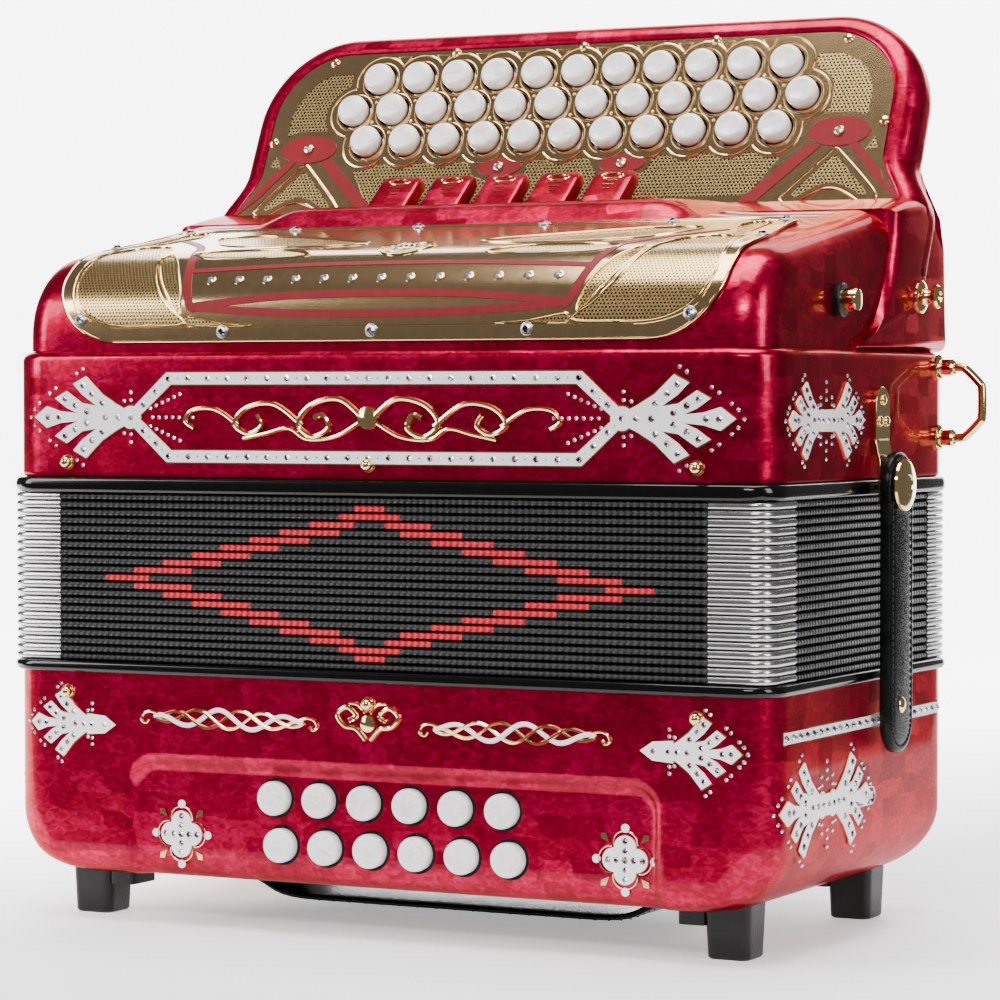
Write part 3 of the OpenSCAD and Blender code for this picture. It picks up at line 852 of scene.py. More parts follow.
def fold_ring(z, inset, r):
    """A level ring round the bellows; the points on the front keep to the steps of the diamond."""
    a = HALF_W - inset
    b = HALF_D - inset
    front = [LOOP_STEP * k for k in range(-24, 25) if abs(LOOP_STEP * k) < FRONT_REACH]
    side = [-b + r + (2 * b - 2 * r) * k / 24 for k in range(24)]
    points = [(x, -b) for x in [-a + r] + front]
    points += arc(a - r, -b + r, r, 270, 360, 6)[:-1]
    points += [(a, y) for y in side]
    points += arc(a - r, b - r, r, 0, 90, 6)[:-1]
    points += [(x, b) for x in [a - r] + front[::-1]]
    points += arc(-a + r, b - r, r, 90, 180, 6)[:-1]
    points += [(-a, -y) for y in side]
    points += arc(-a + r, -b + r, r, 180, 270, 6)[:-1]
    return [(x, y, z) for x, y in points]


def bellows_fold(k, z):
    """The corded ridge of one fold."""
    part = Part()
    rings = [fold_ring(z - RIDGE, 1.6, 7)]
    for a in range(-75, 76, 25):
        t = math.radians(a)
        rings.append(fold_ring(z + RIDGE * math.sin(t), 1.5 - 1.1 * math.cos(t), 8))
    rings.append(fold_ring(z + RIDGE, 1.6, 7))
    part.loft(rings, 0, False, False)
    for i, face in enumerate(part.faces):
        x, y = (sum(part.verts[j][axis] for j in face) / 4 for axis in (0, 1))
        if y < -HALF_D + 2 and red_cord(k, x):
            part.mats[i] = 1
    return part.build(f"bellows_fold_{k + 1:02d}", [CORD, CORD_RED], None, (), 60, 0, False)


def bellows_corner(k, z):
    """The four nickel guards on the corners of one fold."""
    part = Part()
    r = 8.5
    thickness = 1.4
    for sx in (-1, 1):
        for sy in (-1, 1):
            rows = []
            for a in range(-80, 81, 20):
                t = math.radians(a)
                out = 0.9 * math.cos(t) - 1.1
                h = z + FOLD_STEP * 0.45 * math.sin(t)
                a0, b0 = HALF_W + out, HALF_D + out
                line = [(a0 - REACH, b0)] + arc(a0 - r, b0 - r, r, 90, 0, 6) + [(a0, b0 - REACH)]
                rows.append([(sx * x, sy * y, h) for x, y in line])
            inner = [[(x - sx * thickness, y - sy * thickness, h) for x, y, h in row]
                     for row in (rows[-1], rows[0])]
            part.loft(rows + inner + [rows[0]], 0, False, False, False)
    return part.build(f"bellows_corner_{k + 1:02d}", [NICKEL], None, (), 50)


def bellows_wall(k, low, high):
    """The card between two ridges, or between an end frame and its nearest ridge."""
    z0, inset0, z1, inset1 = low[0], 1.6, high[0], 1.6
    valley = FOLD_DEPTH
    if k in (0, FOLDS):
        valley = 4
    if k == 0:
        inset0 = 3
    if k == FOLDS:
        inset1 = 3
    part = Part()
    part.loft([fold_ring(z0, inset0, 7), fold_ring((z0 + z1) / 2, valley, 6),
               fold_ring(z1, inset1, 7)], 0, False, False)
    return part.build(f"bellows_wall_{k + 1:02d}", [FOLD], None, (), 60, 0, False)


def bellows():
    """Builds each corded ridge with its corner guards, and the card between the ridges, and works out each
    one's share of the travel for stretch(), which does not use it.
    """
    edges = [(BELLOWS_LOW, 1e-5)]
    for k in range(FOLDS):
        z = BELLOWS_LOW + (k + 0.5) * FOLD_STEP
        w = (k + 0.5) / FOLDS
        edges += [(z - RIDGE, w), (z + RIDGE, w)]
        for obj, slot, node in ((bellows_fold(k, z), "bellows_cloth", "bellows_folds"),
                                (bellows_corner(k, z), "nickel", "bellows_corners")):
            stretch(obj, z, z, w, w)
            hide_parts(node)
    edges.append((BELLOWS_HIGH, 1 - 1e-5))
    for k in range(FOLDS + 1):
        low, high = edges[2 * k], edges[2 * k + 1]
        obj = bellows_wall(k, low, high)
        stretch(obj, low[0], high[0], low[1], high[1])
        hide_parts("bellows_folds")


# ---------------------------------------------------------------- buttons

def row_count(row):
    return 12 if row == 2 else 11


def treble_centres(row):
    return [((i - (row_count(row) - 1) / 2) * TREBLE_PITCH, (3 - row) * ROW_STEP)
            for i in range(row_count(row))]


TREBLE_CENTRES = [centre for row in (1, 2, 3) for centre in treble_centres(row)]


def cap_profile(r, base, top):
    """A button cap with a rounded rim and a slightly dished top."""
    return [(0.01, base), (r - 0.4, base), (r, base + 0.5), (r, top - 2.2), (r - 0.25, top - 1.2),
            (r - 0.8, top - 0.45), (r - 1.7, top), (r * 0.66, top - 0.1), (r * 0.4, top - 0.3),
            (0.01, top - 0.4)]


def treble_buttons():
    """Pearl caps on steel stems, one piece for each row."""
    low, high = box_mm("treble_buttons_row_1")
    radius = (high[0] - low[0] - 10 * TREBLE_PITCH) / 2
    for row in (1, 2, 3):
        part = Part()
        for x, v in treble_centres(row):
            part.lathe(cap_profile(radius, -1, 5), on_board, (x, v), 0, 36)
            part.lathe([(2.5, -9), (2.5, -1)], on_board, (x, v), 1, 16)
        node = f"treble_buttons_row_{row}"
        part.build(f"treble_caps_row_{row}", [PEARL, STEEL], node, [node], 40)


def bass_buttons():
    """Twelve pearl caps in the sunk field, each in a black ring and disc that are painted shade standing
    in for the hole round its stem.
    """
    for n in range(1, 13):
        node = f"bass_button_{n:02d}"
        low, high = box_mm(node)
        centre = ((low[0] + high[0]) / 2, (low[2] + high[2]) / 2)
        radius = (high[0] - low[0]) / 2
        top = -HALF_D - (low[1] - MID_Y)
        part = Part()
        part.lathe(cap_profile(radius, top - 7, top), on_front, centre, 0, 36)
        part.lathe([(4, top - 32), (4, top - 7)], on_front, centre, 1, 16)
        part.build(f"bass_cap_{n:02d}", [PEARL, STEEL], node, [node], 40)
        # Black ring and disc round the stem: painted shade where the hole round the button would be.
        hole_shade = Part()
        floor = -RECESS["depth"]
        hole_shade.lathe([(radius - 0.6, floor - 1), (radius + 1.1, floor - 1), (radius + 1.1, floor + 0.15),
                    (radius + 0.9, floor + 0.3), (radius + 0.35, floor + 0.3),
                    (radius + 0.2, floor - 1)], on_front, centre, 0, 36)
        hole_shade.lathe([(0.1, floor + 0.06), (radius + 1, floor + 0.06)], on_front, centre, 0, 36)
        hole_shade.build(f"bass_hole_shade_{n:02d}", [SHADE_BLACK], "bass_side")


# ---------------------------------------------------------------- fingerboard plate

HOLE_R = 7.5
SCALLOP = 11.5
OVALS = [(-121.6, -2.3, 13.4, 6.6), (121.6, -2.3, 13.4, 6.6)]
SMALL_OVALS = [(-28.2, -13.6, 10.5, 4.2), (28.2, -13.6, 10.5, 4.2)]


def mirror_x(points):
    """The same outline on the other side, turning the same way."""
    return [(-x, y) for x, y in reversed(points)]


def both(points):
    """An outline and its mirror image."""
    return [points, mirror_x(points)]


TRIANGLE = [(121.3, -12.9), (124, -15), (137, -29), (137.6, -31), (135.5, -31.3), (131, -28.6),
            (126, -26), (121.5, -25.2), (117, -26), (112, -28.6), (107.5, -31.3), (105.4, -31),
            (106, -29), (118.6, -15)]
TRIANGLE_FRAME = [(121.3, -9.8), (125.8, -13.4), (140.6, -29), (141, -33), (136, -34.2),
                  (130.5, -31), (126, -28.6), (121.5, -27.8), (117, -28.6), (112.5, -31),
                  (107, -34.2), (102, -33), (102.4, -29), (117, -13.4)]
CORNER_HOLE = [(137.3, -4.5), (139, -10), (133.6, -11)]
CUTOUTS = both(TRIANGLE) + both(CORNER_HOLE)
CUTOUT_TESTS = [in_polygon(p) for p in CUTOUTS]
ENAMEL_LEGS = [[(126, -7.6), (129.8, -7.2), (142, -20), (143.5, -24), (152, -33), (149.6, -33),
                (140.5, -24.6), (137.5, -21)],
               [(109.5, -7), (114.6, -8.6), (90.5, -33), (82.5, -33)],
               [(25, -17), (31, -17), (34, -36), (24, -36)]]
PLATE_OUTLINE = board_outline(PLATE_INSET + 0.2, -36)
PLATE_HOLES = [circle(x, v, HOLE_R, 36) for x, v in TREBLE_CENTRES]
in_plate = in_polygon(PLATE_OUTLINE)
in_rim = in_polygon(board_outline(PLATE_INSET + 8.5, -36))


def clear(x, v, r):
    """Whether a point is further than r from every treble button."""
    return all((x - a) ** 2 + (v - b) ** 2 > r * r for a, b in TREBLE_CENTRES)


def in_ellipse(x, v, cx, cy, p, q):
    return ((x - cx) / p) ** 2 + ((v - cy) / q) ** 2 <= 1


def in_band(x, v):
    """The pierced band below the buttons."""
    return (-29 < v < -9.5 and abs(x) < 100 - max(0, -v - 9) * 0.62 and clear(x, v, 12.6)
            and not any(in_ellipse(x, v, a, b, p + 2.5, q + 2.2) for a, b, p, q in SMALL_OVALS))


def in_corner(x, v):
    """The pierced fields at the two ends."""
    x = abs(x)
    return (x > 88 and v > 5.5 - (x - 118) * 0.05 and in_rim(x, v) and clear(x, v, 13.4)
            and not in_ellipse(x, v, 121.6, -2.3, 16.5, 9.5))


def in_windows(x, v):
    return in_band(x, v) or in_corner(x, v) or any(test(x, v) for test in CUTOUT_TESTS)


def fingerboard_face():
    """The gold plate round the buttons, with pierced mesh in its windows."""
    step = 1.3
    seeds = [(x * step, v * step) for x in range(-108, 109) for v in range(-27, 36)
             if in_windows(x * step, v * step) != in_windows((x + 1) * step, v * step)
             or in_windows(x * step, v * step) != in_windows(x * step, (v + 1) * step)]
    near = ((0, 0), (1.2, 0), (-1.2, 0), (0, 1.2), (0, -1.2))
    part = Part()
    part.flat([PLATE_OUTLINE] + PLATE_HOLES + CUTOUTS,
              lambda x, v: in_plate(x, v) and clear(x, v, HOLE_R - 0.01) and not in_windows(x, v),
              on_board, -1.2, 0.0, 0, seeds, True)
    part.pierced(lambda x, v: any(in_windows(x + a, v + b) for a, b in near),
                 (-142, -34, 142, 46), 1.7, 0.52, on_board, -0.15, 0.5, 1)
    part.build("fingerboard_face", [GOLD, GOLD_MESH], "treble_side",
               ["fingerboard_plate"], 30)


def scallops(part):
    """Raised arcs round the buttons, broken where they would cross a neighbour's."""
    for x, v in TREBLE_CENTRES:
        part.tube([on_board(a, b, 0.0) for a, b in circle(x, v, 8.6, 36)], 0.16, 0, 6, True)
        run = []
        for k, (a, b) in enumerate(arc(x, v, SCALLOP, -90, 270, 72)):
            covered = any(math.hypot(a - c, b - d) < SCALLOP - 0.05 for c, d in TREBLE_CENTRES)
            if not covered:
                run.append(on_board(a, b, 0.0))
            if (covered or k == 72) and len(run) > 2:
                part.tube(run, 0.42, 0, 6)
            if covered:
                run = []


def fingerboard_relief():
    part = Part()
    scallops(part)
    top_row = 2 * ROW_STEP
    for k in range(10):
        x = (k - 4.5) * TREBLE_PITCH
        corners = [(x - 3.2, top_row + 11.2), (x + 3.2, top_row + 11.2), (x, top_row + 6.4)]
        part.tube([on_board(a, b, 0.0) for a, b in corners], 0.22, 0, 6, True)
    dots = [((k - 4.5) * TREBLE_PITCH, v) for k in range(10) for v in (24.6, 4.9)]
    dots += [((k - 5) * TREBLE_PITCH, v) for k in range(11) for v in (19.6, 9.9)]
    for dot in dots:
        part.lathe([(0.8, 0), (0.55, 0.35), (0.01, 0.5)], on_board, dot, 0, 10)
    for side in (-1, 1):
        ring = [on_board(side * x, v, 0.1) for x, v in smooth_curve(TRIANGLE_FRAME, 4)]
        part.tube(ring, 0.5, 0, 6, True)
    part.build("fingerboard_relief", [GOLD_BRIGHT], "treble_side", (), 60)


def fingerboard_shade_sheet():
    # A black sheet under the gold plate: painted shade seen through the pierced mesh.
    part = Part()
    part.flat([board_outline(PLATE_INSET + 3, -34)] + PLATE_HOLES,
              lambda x, v: in_plate(x, v) and clear(x, v, HOLE_R - 0.01), on_board, -2.4, -1.8)
    part.build("fingerboard_shade_sheet", [SHADE_BLACK], "treble_side")


def fingerboard_enamel():
    part = Part()
    for cx, cy, p, q in OVALS + SMALL_OVALS:
        part.patch(circle(cx, cy, p, 40, q / p), on_board, 0.02, 0.35)
    for leg in ENAMEL_LEGS:
        for outline in both(leg):
            part.patch(outline, on_board, 0.02, 0.30)
    part.build("fingerboard_enamel", [RED_PLAIN], "treble_side")


def fingerboard_studs():
    part = Part()
    for stud in [(118.6, 39.8), (-118.6, 39.8), (140, 1.6), (-140, 1.6), (-60, 42), (60, 42), (0, 42)]:
        part.lathe([(2.1, 0), (2.1, 0.4), (1.6, 1.1), (0.6, 1.4), (0.01, 1.4)], on_board, stud, 0, 16)
    for cx, cy, _, _ in OVALS + SMALL_OVALS:
        part.lathe([(2.3, 0.3), (2.3, 0.8), (1.9, 1.1), (1.6, 0.9)], on_board, (cx, cy), 0, 16)
        part.stone(on_board, cx, cy, 1.6, 0.8, 1)
    part.build("fingerboard_studs", [GOLD_BRIGHT, STONE], "treble_side")


# ---------------------------------------------------------------- grille

def grille_half(s):
    """Half width of the grille at a distance up its outline."""
    if s < 30:
        return 113 + 29 * math.sqrt(max(1 - ((30 - s) / 26.5) ** 2, 0))
    if s < 54:
        return 142
    if s < 108:
        return 142 - 5.5 * smoothstep(54, 108, s)
    return 136.5 - 22 * (1 - math.sqrt(max(1 - ((s - 108) / 9.01) ** 2, 0)))


def grille_outline(inset):
    """The outline of the grille laid flat, across and up the hood."""
    levels = [3.5 + 26.5 * (1 - math.cos(math.radians(a))) for a in range(0, 90, 8)]
    levels += [30 + 4 * k for k in range(20)]
    levels += [108 + 9 * math.sin(math.radians(a)) for a in range(0, 91, 15)]
    right = []
    for s in levels:
        half = grille_half(s) - inset
        shift = inset * (1 - min((s - 3.5) / 12, 1)) - inset * max((s - 108) / 9, 0)
        right.append((half, s + shift))
    return right + mirror_x(right)


BIG_WINDOW = [(83, 10.5), (98, 9.6), (110, 9.6), (120, 11), (129, 15.5), (134.5, 23), (136.5, 33),
              (135.5, 45), (133, 56), (128, 66), (119, 68), (112, 63), (107.5, 50), (103.5, 37),
              (98.5, 26), (91, 17)]
FAN_WINDOW = [(85, 13), (92, 21), (98.5, 30), (104, 42), (101, 45.5), (96, 40), (90.5, 31), (86, 21)]
TOP_WINDOW = [(38, 43), (50, 41), (66, 40.6), (84, 42), (92, 47), (80, 52), (62, 53), (47, 49)]
LOW_WINDOW = [(80, 12.6), (66, 10.4), (52, 9.4), (60, 9.2), (72, 9.2), (81, 9.4)]
REAR_WINDOW = [(24, 66), (40, 60), (64, 60), (88, 66), (100, 78), (106, 92), (88, 96), (64, 88),
               (42, 78)]
RIM_WINDOW = [(133, 62), (131, 76), (130, 92), (129, 104), (121, 106), (118, 96), (122, 84),
              (126, 72)]


GRILLE_WINDOWS = []
for window in (BIG_WINDOW, FAN_WINDOW, TOP_WINDOW, LOW_WINDOW, REAR_WINDOW, RIM_WINDOW):
    GRILLE_WINDOWS += both(smooth_curve(window, 4))
GRILLE_OUTLINE = grille_outline(0)
in_grille = in_polygon(GRILLE_OUTLINE)
GRILLE_GRID = [(4.0 * i, 2.0 * k) for i in range(-36, 37) for k in range(1, 60)
               if in_grille(4.0 * i, 2.0 * k)]
MEDAL_S = 52


def grille_plate():
    """The gold plate that follows the hood, with pierced mesh in its windows."""
    tests = [in_polygon(w) for w in GRILLE_WINDOWS]
    near = ((0, 0), (1, 0), (-1, 0), (0, 1), (0, -1))
    part = Part()
    part.flat([GRILLE_OUTLINE] + GRILLE_WINDOWS,
              lambda x, s: in_grille(x, s) and not any(test(x, s) for test in tests),
              on_hood, 0.1, 1.3, 0, GRILLE_GRID, True)
    part.pierced(lambda x, s: any(test(x + a, s + b) for test in tests for a, b in near),
                 (-140, 8, 140, 112), 1.5, 0.46, on_hood, 1.0, 0.5, 1)
    part.build("grille_plate", [GOLD, GOLD_MESH], "treble_side", ["treble_grille"], 30)


def grille_relief():
    part = Part()
    for w in GRILLE_WINDOWS:
        part.tube([on_hood(x, s, 1.25) for x, s in w], 0.5, 0, 6, True)
    part.tube([on_hood(x, s, 1.0) for x, s in GRILLE_OUTLINE], 0.6, 0, 6, True)
    part.tube([on_hood(x, s, 1.2) for x, s in grille_outline(5)], 0.45, 0, 6, True)
    for r in (10.5, 8.6, 4.4):
        part.tube([on_hood(x, s, 1.4) for x, s in circle(0, MEDAL_S, r, 48)], 0.55, 0, 6, True)
    part.build("grille_relief", [GOLD_BRIGHT], "treble_side", (), 60)


def grille_lining():
    part = Part()
    outline = grille_outline(3)
    part.flat([outline], in_polygon(outline), on_hood, 0.03, 0.3, 0, GRILLE_GRID)
    part.build("grille_lining", [CLOTH], "treble_side", ["grille_cloth"])


def grille_enamel():
    """Red lines on the grille: a long border, a spindle and two sweeping side lines."""
    part = Part()
    lines = [stripe(open_curve(points, 8), width) for points, width in (
        ([(-86, 32.5), (-40, 35), (0, 35.6), (40, 35), (86, 32.5)], 2.2),
        ([(-80, 16.6), (-40, 20.2), (0, 21), (40, 20.2), (80, 16.6)], 3.0),
        ([(-78, 16), (-40, 13.7), (0, 13.1), (40, 13.7), (78, 16)], 3.0))]
    lines += both(stripe(open_curve([(78, 15.6), (81.5, 18), (86, 31), (90, 43), (97, 60), (107, 73),
                                     (119, 84)], 6), 3.4))
    for line in lines:
        inside = in_polygon(line)
        grid = [(x * 3.0, s * 2.0) for x in range(-40, 41) for s in range(6, 44)
                if inside(x * 3.0, s * 2.0)]
        part.flat([line], inside, on_hood, 1.2, 1.5, 0, grid)
    part.build("grille_enamel", [RED_PLAIN], "treble_side")


def grille_stones():
    """A row of clear stones, and screws with smoked stones round the rim."""
    part = Part()
    for k in range(13):
        x = (k - 6) * 12.4
        part.lathe([(2.0, 1.2), (2.0, 1.5), (1.6, 1.6)], on_hood, (x, 27.7), 0, 14)
        part.stone(on_hood, x, 27.7, 1.6, 1.5, 1)
    for x, s in ((0, 7), (65, 7), (-65, 7), (129.8, 12), (-129.8, 12), (132, 109), (-132, 109),
                 (84, 112), (-84, 112), (28, 113), (-28, 113), (140, 66), (-140, 66)):
        part.lathe([(2.5, 1.2), (2.5, 1.8), (2.0, 2.1)], on_hood, (x, s), 2, 16)
        part.stone(on_hood, x, s, 1.9, 1.9, 3)
    part.build("grille_stones", [GOLD_BRIGHT, STONE, STEEL, SMOKE], "treble_side",
               ["grille_screws"])


def grille_medallion():
    part = Part()
    for bead in circle(0, MEDAL_S, 6.4, 8):
        part.lathe([(0.01, 1.3), (1.5, 1.3), (1.2, 1.9), (0.01, 2.1)], on_hood, bead, 0, 12)
    part.build("grille_medallion", [STEEL], "treble_side")


# ---------------------------------------------------------------- registers

DECK_PROFILE = [(0, 0), (1.5, 1.2), (4, 3.6), (7, 5.6), (10, 6.5), (15, 6.6), (25, 5.4), (36, 3.6),
                (44, 2.4), (47.5, 1.0)]
# Each row of a register tab: distance along it, its underside, its top and its half width.
TAB_ROWS = [(-5.6, 0.4, 1.6, 6.6), (-5.2, -1.2, 3.4, 8.2), (-3.5, -2.4, 4.8, 9.0),
            (0, -2.6, 5.4, 9.2), (6, -1.6, 5.4, 9.2), (13, -1.2, 5.4, 9.2),
            (17.5, -1.0, 5.3, 9.1), (19.4, -0.4, 4.4, 8.4), (20, 0.8, 3.0, 7.4)]
TAB_LEAN = math.radians(40)


def register_plateau():
    """The swelling on the hood that carries the register switches."""
    low, high = box_mm("register_plateau")
    mid = (low[0] + high[0]) / 2
    foot_half = (high[0] - low[0]) / 2 + 12
    start = HOOD_UP + HOOD_ARC + 78
    columns = []
    for k in range(61):
        x = mid + (k / 30 - 1) * foot_half
        rise = smoothstep(0, 24, foot_half - abs(x - mid))
        columns.append([(x,) + hood_yz(start + s, 0.05 + h * rise) for s, h in DECK_PROFILE])
    part = Part()
    part.loft(columns, 0, True, True, False)
    part.build("register_deck", [RED], "treble_side", ["register_plateau"], 60)


def register_tab(node, name):
    """A rocker tab with a rounded nose, three small gold bars and a gold oval."""
    low, high = box_mm(node)
    mid = (low[0] + high[0]) / 2
    y0 = high[1] - MID_Y - 16
    z0 = low[2] + 5

    def place(x, along, up):
        return (mid + x, y0 + along * math.cos(TAB_LEAN) - up * math.sin(TAB_LEAN),
                z0 + along * math.sin(TAB_LEAN) + up * math.cos(TAB_LEAN))

    part = Part()
    rows = []
    for along, under, top, half in TAB_ROWS:
        r = min(1.6, (top - under) / 2.2)
        rows.append([place(x, along, up) for x, up in rounded_loop(-half, half, under, top, r)])
    part.loft(rows)
    for k in range(3):
        half = 1.6 + 0.9 * k
        part.tube([place(x, 6.5 + 2.6 * k, 5.45) for x in (-half, half)], 0.32, 1, 6)
    oval = circle(0, 15, 4.8, 20, 1.8 / 4.8)
    part.tube([place(x, along, 5.4) for x, along in oval], 0.28, 1, 6, True)
    part.build(name, [RED, GOLD_BRIGHT], node, [node], 40)


def register_switches():
    for n in range(1, 6):
        register_tab(f"register_switch_{n}", f"register_tab_{n}")


# ---------------------------------------------------------------- ornaments

FLEUR_HALF = [(3.2, 3.4), (6.5, 5.0), (12.9, 8.8), (20.3, 15.8), (26.1, 12.9), (21.8, 8.6), (15.4, 4.4),
              (22, 5.4), (29.1, 10.1), (34.4, 7.3), (29, 3.6), (24.0, 1.5), (31.9, 2.3), (38.2, 4.2)]
FLEUR_TIP = (43.9, 0)
HUB = 4.4
FLEUR_STONES = [(5.6, 0), (11.5, 0), (20, 2.2), (13, 5.6), (17.6, 9.0), (21.6, 12.4), (25.2, 4.7),
                (29.8, 7.2), (32.6, 0), (37.6, 0)]
FLEUR_SPARKS = [(0.4, 6.6), (3.4, 6.2), (0.4, 9.6), (25.0, 16.8), (22.2, 18.6), (34.6, 11.2),
                (37.4, 9.2), (42.2, 5.4), (44.6, 3.2), (46.6, 0)]


def fleur(inlay, place, cx, cy, direction, length, width, lift=0.0):
    """A five-finger fleur growing from a round hub: gold edging, a white body and stones."""
    c, s = ((1, 0), (0, 1), (-1, 0), (0, -1))[direction]
    k, w = length / FLEUR_TIP[0], width / FLEUR_HALF[3][1]

    def at(u, v):
        return (cx + c * k * u - s * w * v, cy + s * k * u + c * w * v)

    for grow, low, high, mat in ((0.6, 0.0, 0.35 + lift, 1), (0.0, 0.3, 0.75 + lift, 0)):
        upper = [(u, v) for u, v in FLEUR_HALF]
        body = upper + [FLEUR_TIP] + [(u, -v) for u, v in reversed(upper)]
        centre = (18, 0)
        grown = []
        for u, v in body:
            du, dv = u - centre[0], v - centre[1]
            size = math.hypot(du, dv)
            grown.append(at(u + du / size * grow / k, v + dv / size * grow / w))
        shapes = [grown, circle(cx, cy, HUB * min(w, 1) + grow, 22)]
        tests = [in_polygon(p) for p in shapes]
        inlay.flat(shapes, lambda x, y: any(t(x, y) for t in tests), place, low, high, mat)
    inlay.stone(place, cx, cy, 1.35 * min(w, 1), 0.7 + lift, 2)
    for u, v in FLEUR_STONES:
        for sign in ((1, -1) if v else (1,)):
            inlay.stone(place, *at(u, sign * v), 1.4 * min(w, 1), 0.7 + lift, 2)
    for u, v in FLEUR_SPARKS:
        for sign in ((1, -1) if v else (1,)):
            inlay.stone(place, *at(u, sign * v), 0.8, 0.08, 3)


def stones_along(inlay, place, a, b, spacing):
    steps = max(round(math.hypot(b[0] - a[0], b[1] - a[1]) / spacing), 1)
    for k in range(2 * steps + 1):
        t = k / (2 * steps)
        inlay.stone(place, a[0] + (b[0] - a[0]) * t, a[1] + (b[1] - a[1]) * t,
                    0.45 if k % 2 else 1.35, 0.7, 2)


def stoned_line(inlay, place, points, width, spacing, closed=False):
    """A white band edged with gold, with stones along its middle."""
    count = len(points)
    pairs = [(points[i], points[(i + 1) % count]) for i in range(count if closed else count - 1)]
    for (ax, ay), (bx, by) in pairs:
        size = math.hypot(bx - ax, by - ay)
        ux, uy = (bx - ax) / size, (by - ay) / size
        ext = width * 0.26
        for grow, low, high, mat in ((0.5, 0.0, 0.35, 1), (0.0, 0.3, 0.75, 0)):
            w = width / 2 + grow
            corners = [(ax - ux * ext + uy * w, ay - uy * ext - ux * w),
                       (bx + ux * ext + uy * w, by + uy * ext - ux * w),
                       (bx + ux * ext - uy * w, by + uy * ext + ux * w),
                       (ax - ux * ext - uy * w, ay - uy * ext + ux * w)]
            inlay.loft([[place(x, y, h) for x, y in corners] for h in (low, high)], mat)
        stones_along(inlay, place, (ax, ay), (bx, by), spacing)


def scroll(points, part, place, radius, mat=0, out=0.5, steps=8):
    path = [place(x, y, out) for x, y in open_curve(points, steps)]
    part.tube(path, radius, mat, 8)


INLAY = [WHITE, GOLD_BRIGHT, PINK, STONE]

PANEL_Z = 196.3
PANEL_NODE = 104.6
PANEL_SHOULDER = 87.5
PANEL_HALF_H = 14.9
BAND = 2.25
NAME_SCROLLS = [
    ([(2, 0), (12, 7), (24, 5), (30, -2), (24, -7), (17, -4), (19, 1), (23, 0)], 1.1),
    ([(28, -3), (40, 5), (52, 4), (58, -2), (52, -6), (46, -3), (48, 1)], 1.0),
    ([(56, -3), (66, 3), (76, 3), (80, -1), (76, -4)], 0.85),
    ([(4, -2), (14, -7), (26, -8), (34, -4), (44, -6), (54, -8)], 0.8)]


def panel_outline(grow):
    side = PANEL_NODE + 1.4 * grow
    shoulder = PANEL_SHOULDER + 0.4 * grow
    half = PANEL_HALF_H + grow
    return [(-side, PANEL_Z), (-shoulder, PANEL_Z + half), (shoulder, PANEL_Z + half),
            (side, PANEL_Z), (shoulder, PANEL_Z - half), (-shoulder, PANEL_Z - half)]


def name_panel():
    """The long white panel on the treble casing, with a fleur at each end and a gold scroll."""
    z = PANEL_Z
    part = Part()
    for grow, low, high, mat in ((0.45, 0.0, 0.35, 1), (0.0, 0.3, 0.75, 0)):
        outer = panel_outline(BAND + grow)
        inner = panel_outline(-BAND - grow)
        in_outer, in_inner = in_polygon(outer), in_polygon(inner)
        part.flat([outer, inner], lambda x, y: in_outer(x, y) and not in_inner(x, y), front_skin,
                  low, high, mat)
    line = panel_outline(0)
    for k in range(6):
        stones_along(part, front_skin, line[k], line[(k + 1) % 6], 8.8)
    for side, direction in ((-1, 2), (1, 0)):
        fleur(part, front_skin, side * PANEL_NODE, z, direction, 44.5, 15.8, 0.12)
        for ray, count in ((-48, 6), (-27, 6), (0, 7), (27, 6), (48, 6)):
            for k in range(count):
                reach = 9.5 + 3.0 * k
                part.stone(front_skin, side * (PANEL_NODE - reach * math.cos(math.radians(ray))),
                           z + 0.8 * reach * math.sin(math.radians(ray)), 0.8, 0.08, 3)
    part.build("name_panel", INLAY, "treble_side")
    gold = Part()
    for side in (-1, 1):
        for points, radius in NAME_SCROLLS:
            scroll([(side * x, z + y) for x, y in points], gold, front_skin, radius)
    gold.lathe([(0.01, 0), (4.6, 0), (4.2, 1.2), (2, 2), (0.01, 2.2)], front_skin, (0, z), 0, 20)
    gold.build("name_scroll", [GOLD_BRIGHT], "treble_side")


BRAID_TURNS = 2.2
CURL = [(-2, 1), (2, 2), (5, 1), (6, -1.4), (4, -2.4), (2.8, -1)]


def braid(part, side, x0, x1, z):
    """Interlaced gold and white strands ending in curls."""
    steps = 60
    for phase in (0, math.pi * 2 / 3, math.pi * 4 / 3):
        path = []
        for k in range(steps + 1):
            t = k / steps
            angle = t * 2 * math.pi * BRAID_TURNS + phase
            swell = 3.6 * math.sin(math.pi * t) ** 0.5
            path.append(front_skin(side * (x0 + (x1 - x0) * t), z + swell * math.sin(angle),
                                   0.35 + 0.25 * math.cos(angle)))
        part.tube(path, 0.75 if phase else 0.95, 0 if phase else 1, 6)
    for end, sign in ((x0, -1), (x1, 1)):
        curl = [(side * (end + sign * a), z + b) for a, b in CURL]
        scroll(curl, part, front_skin, 0.6, 0, 0.4, 5)


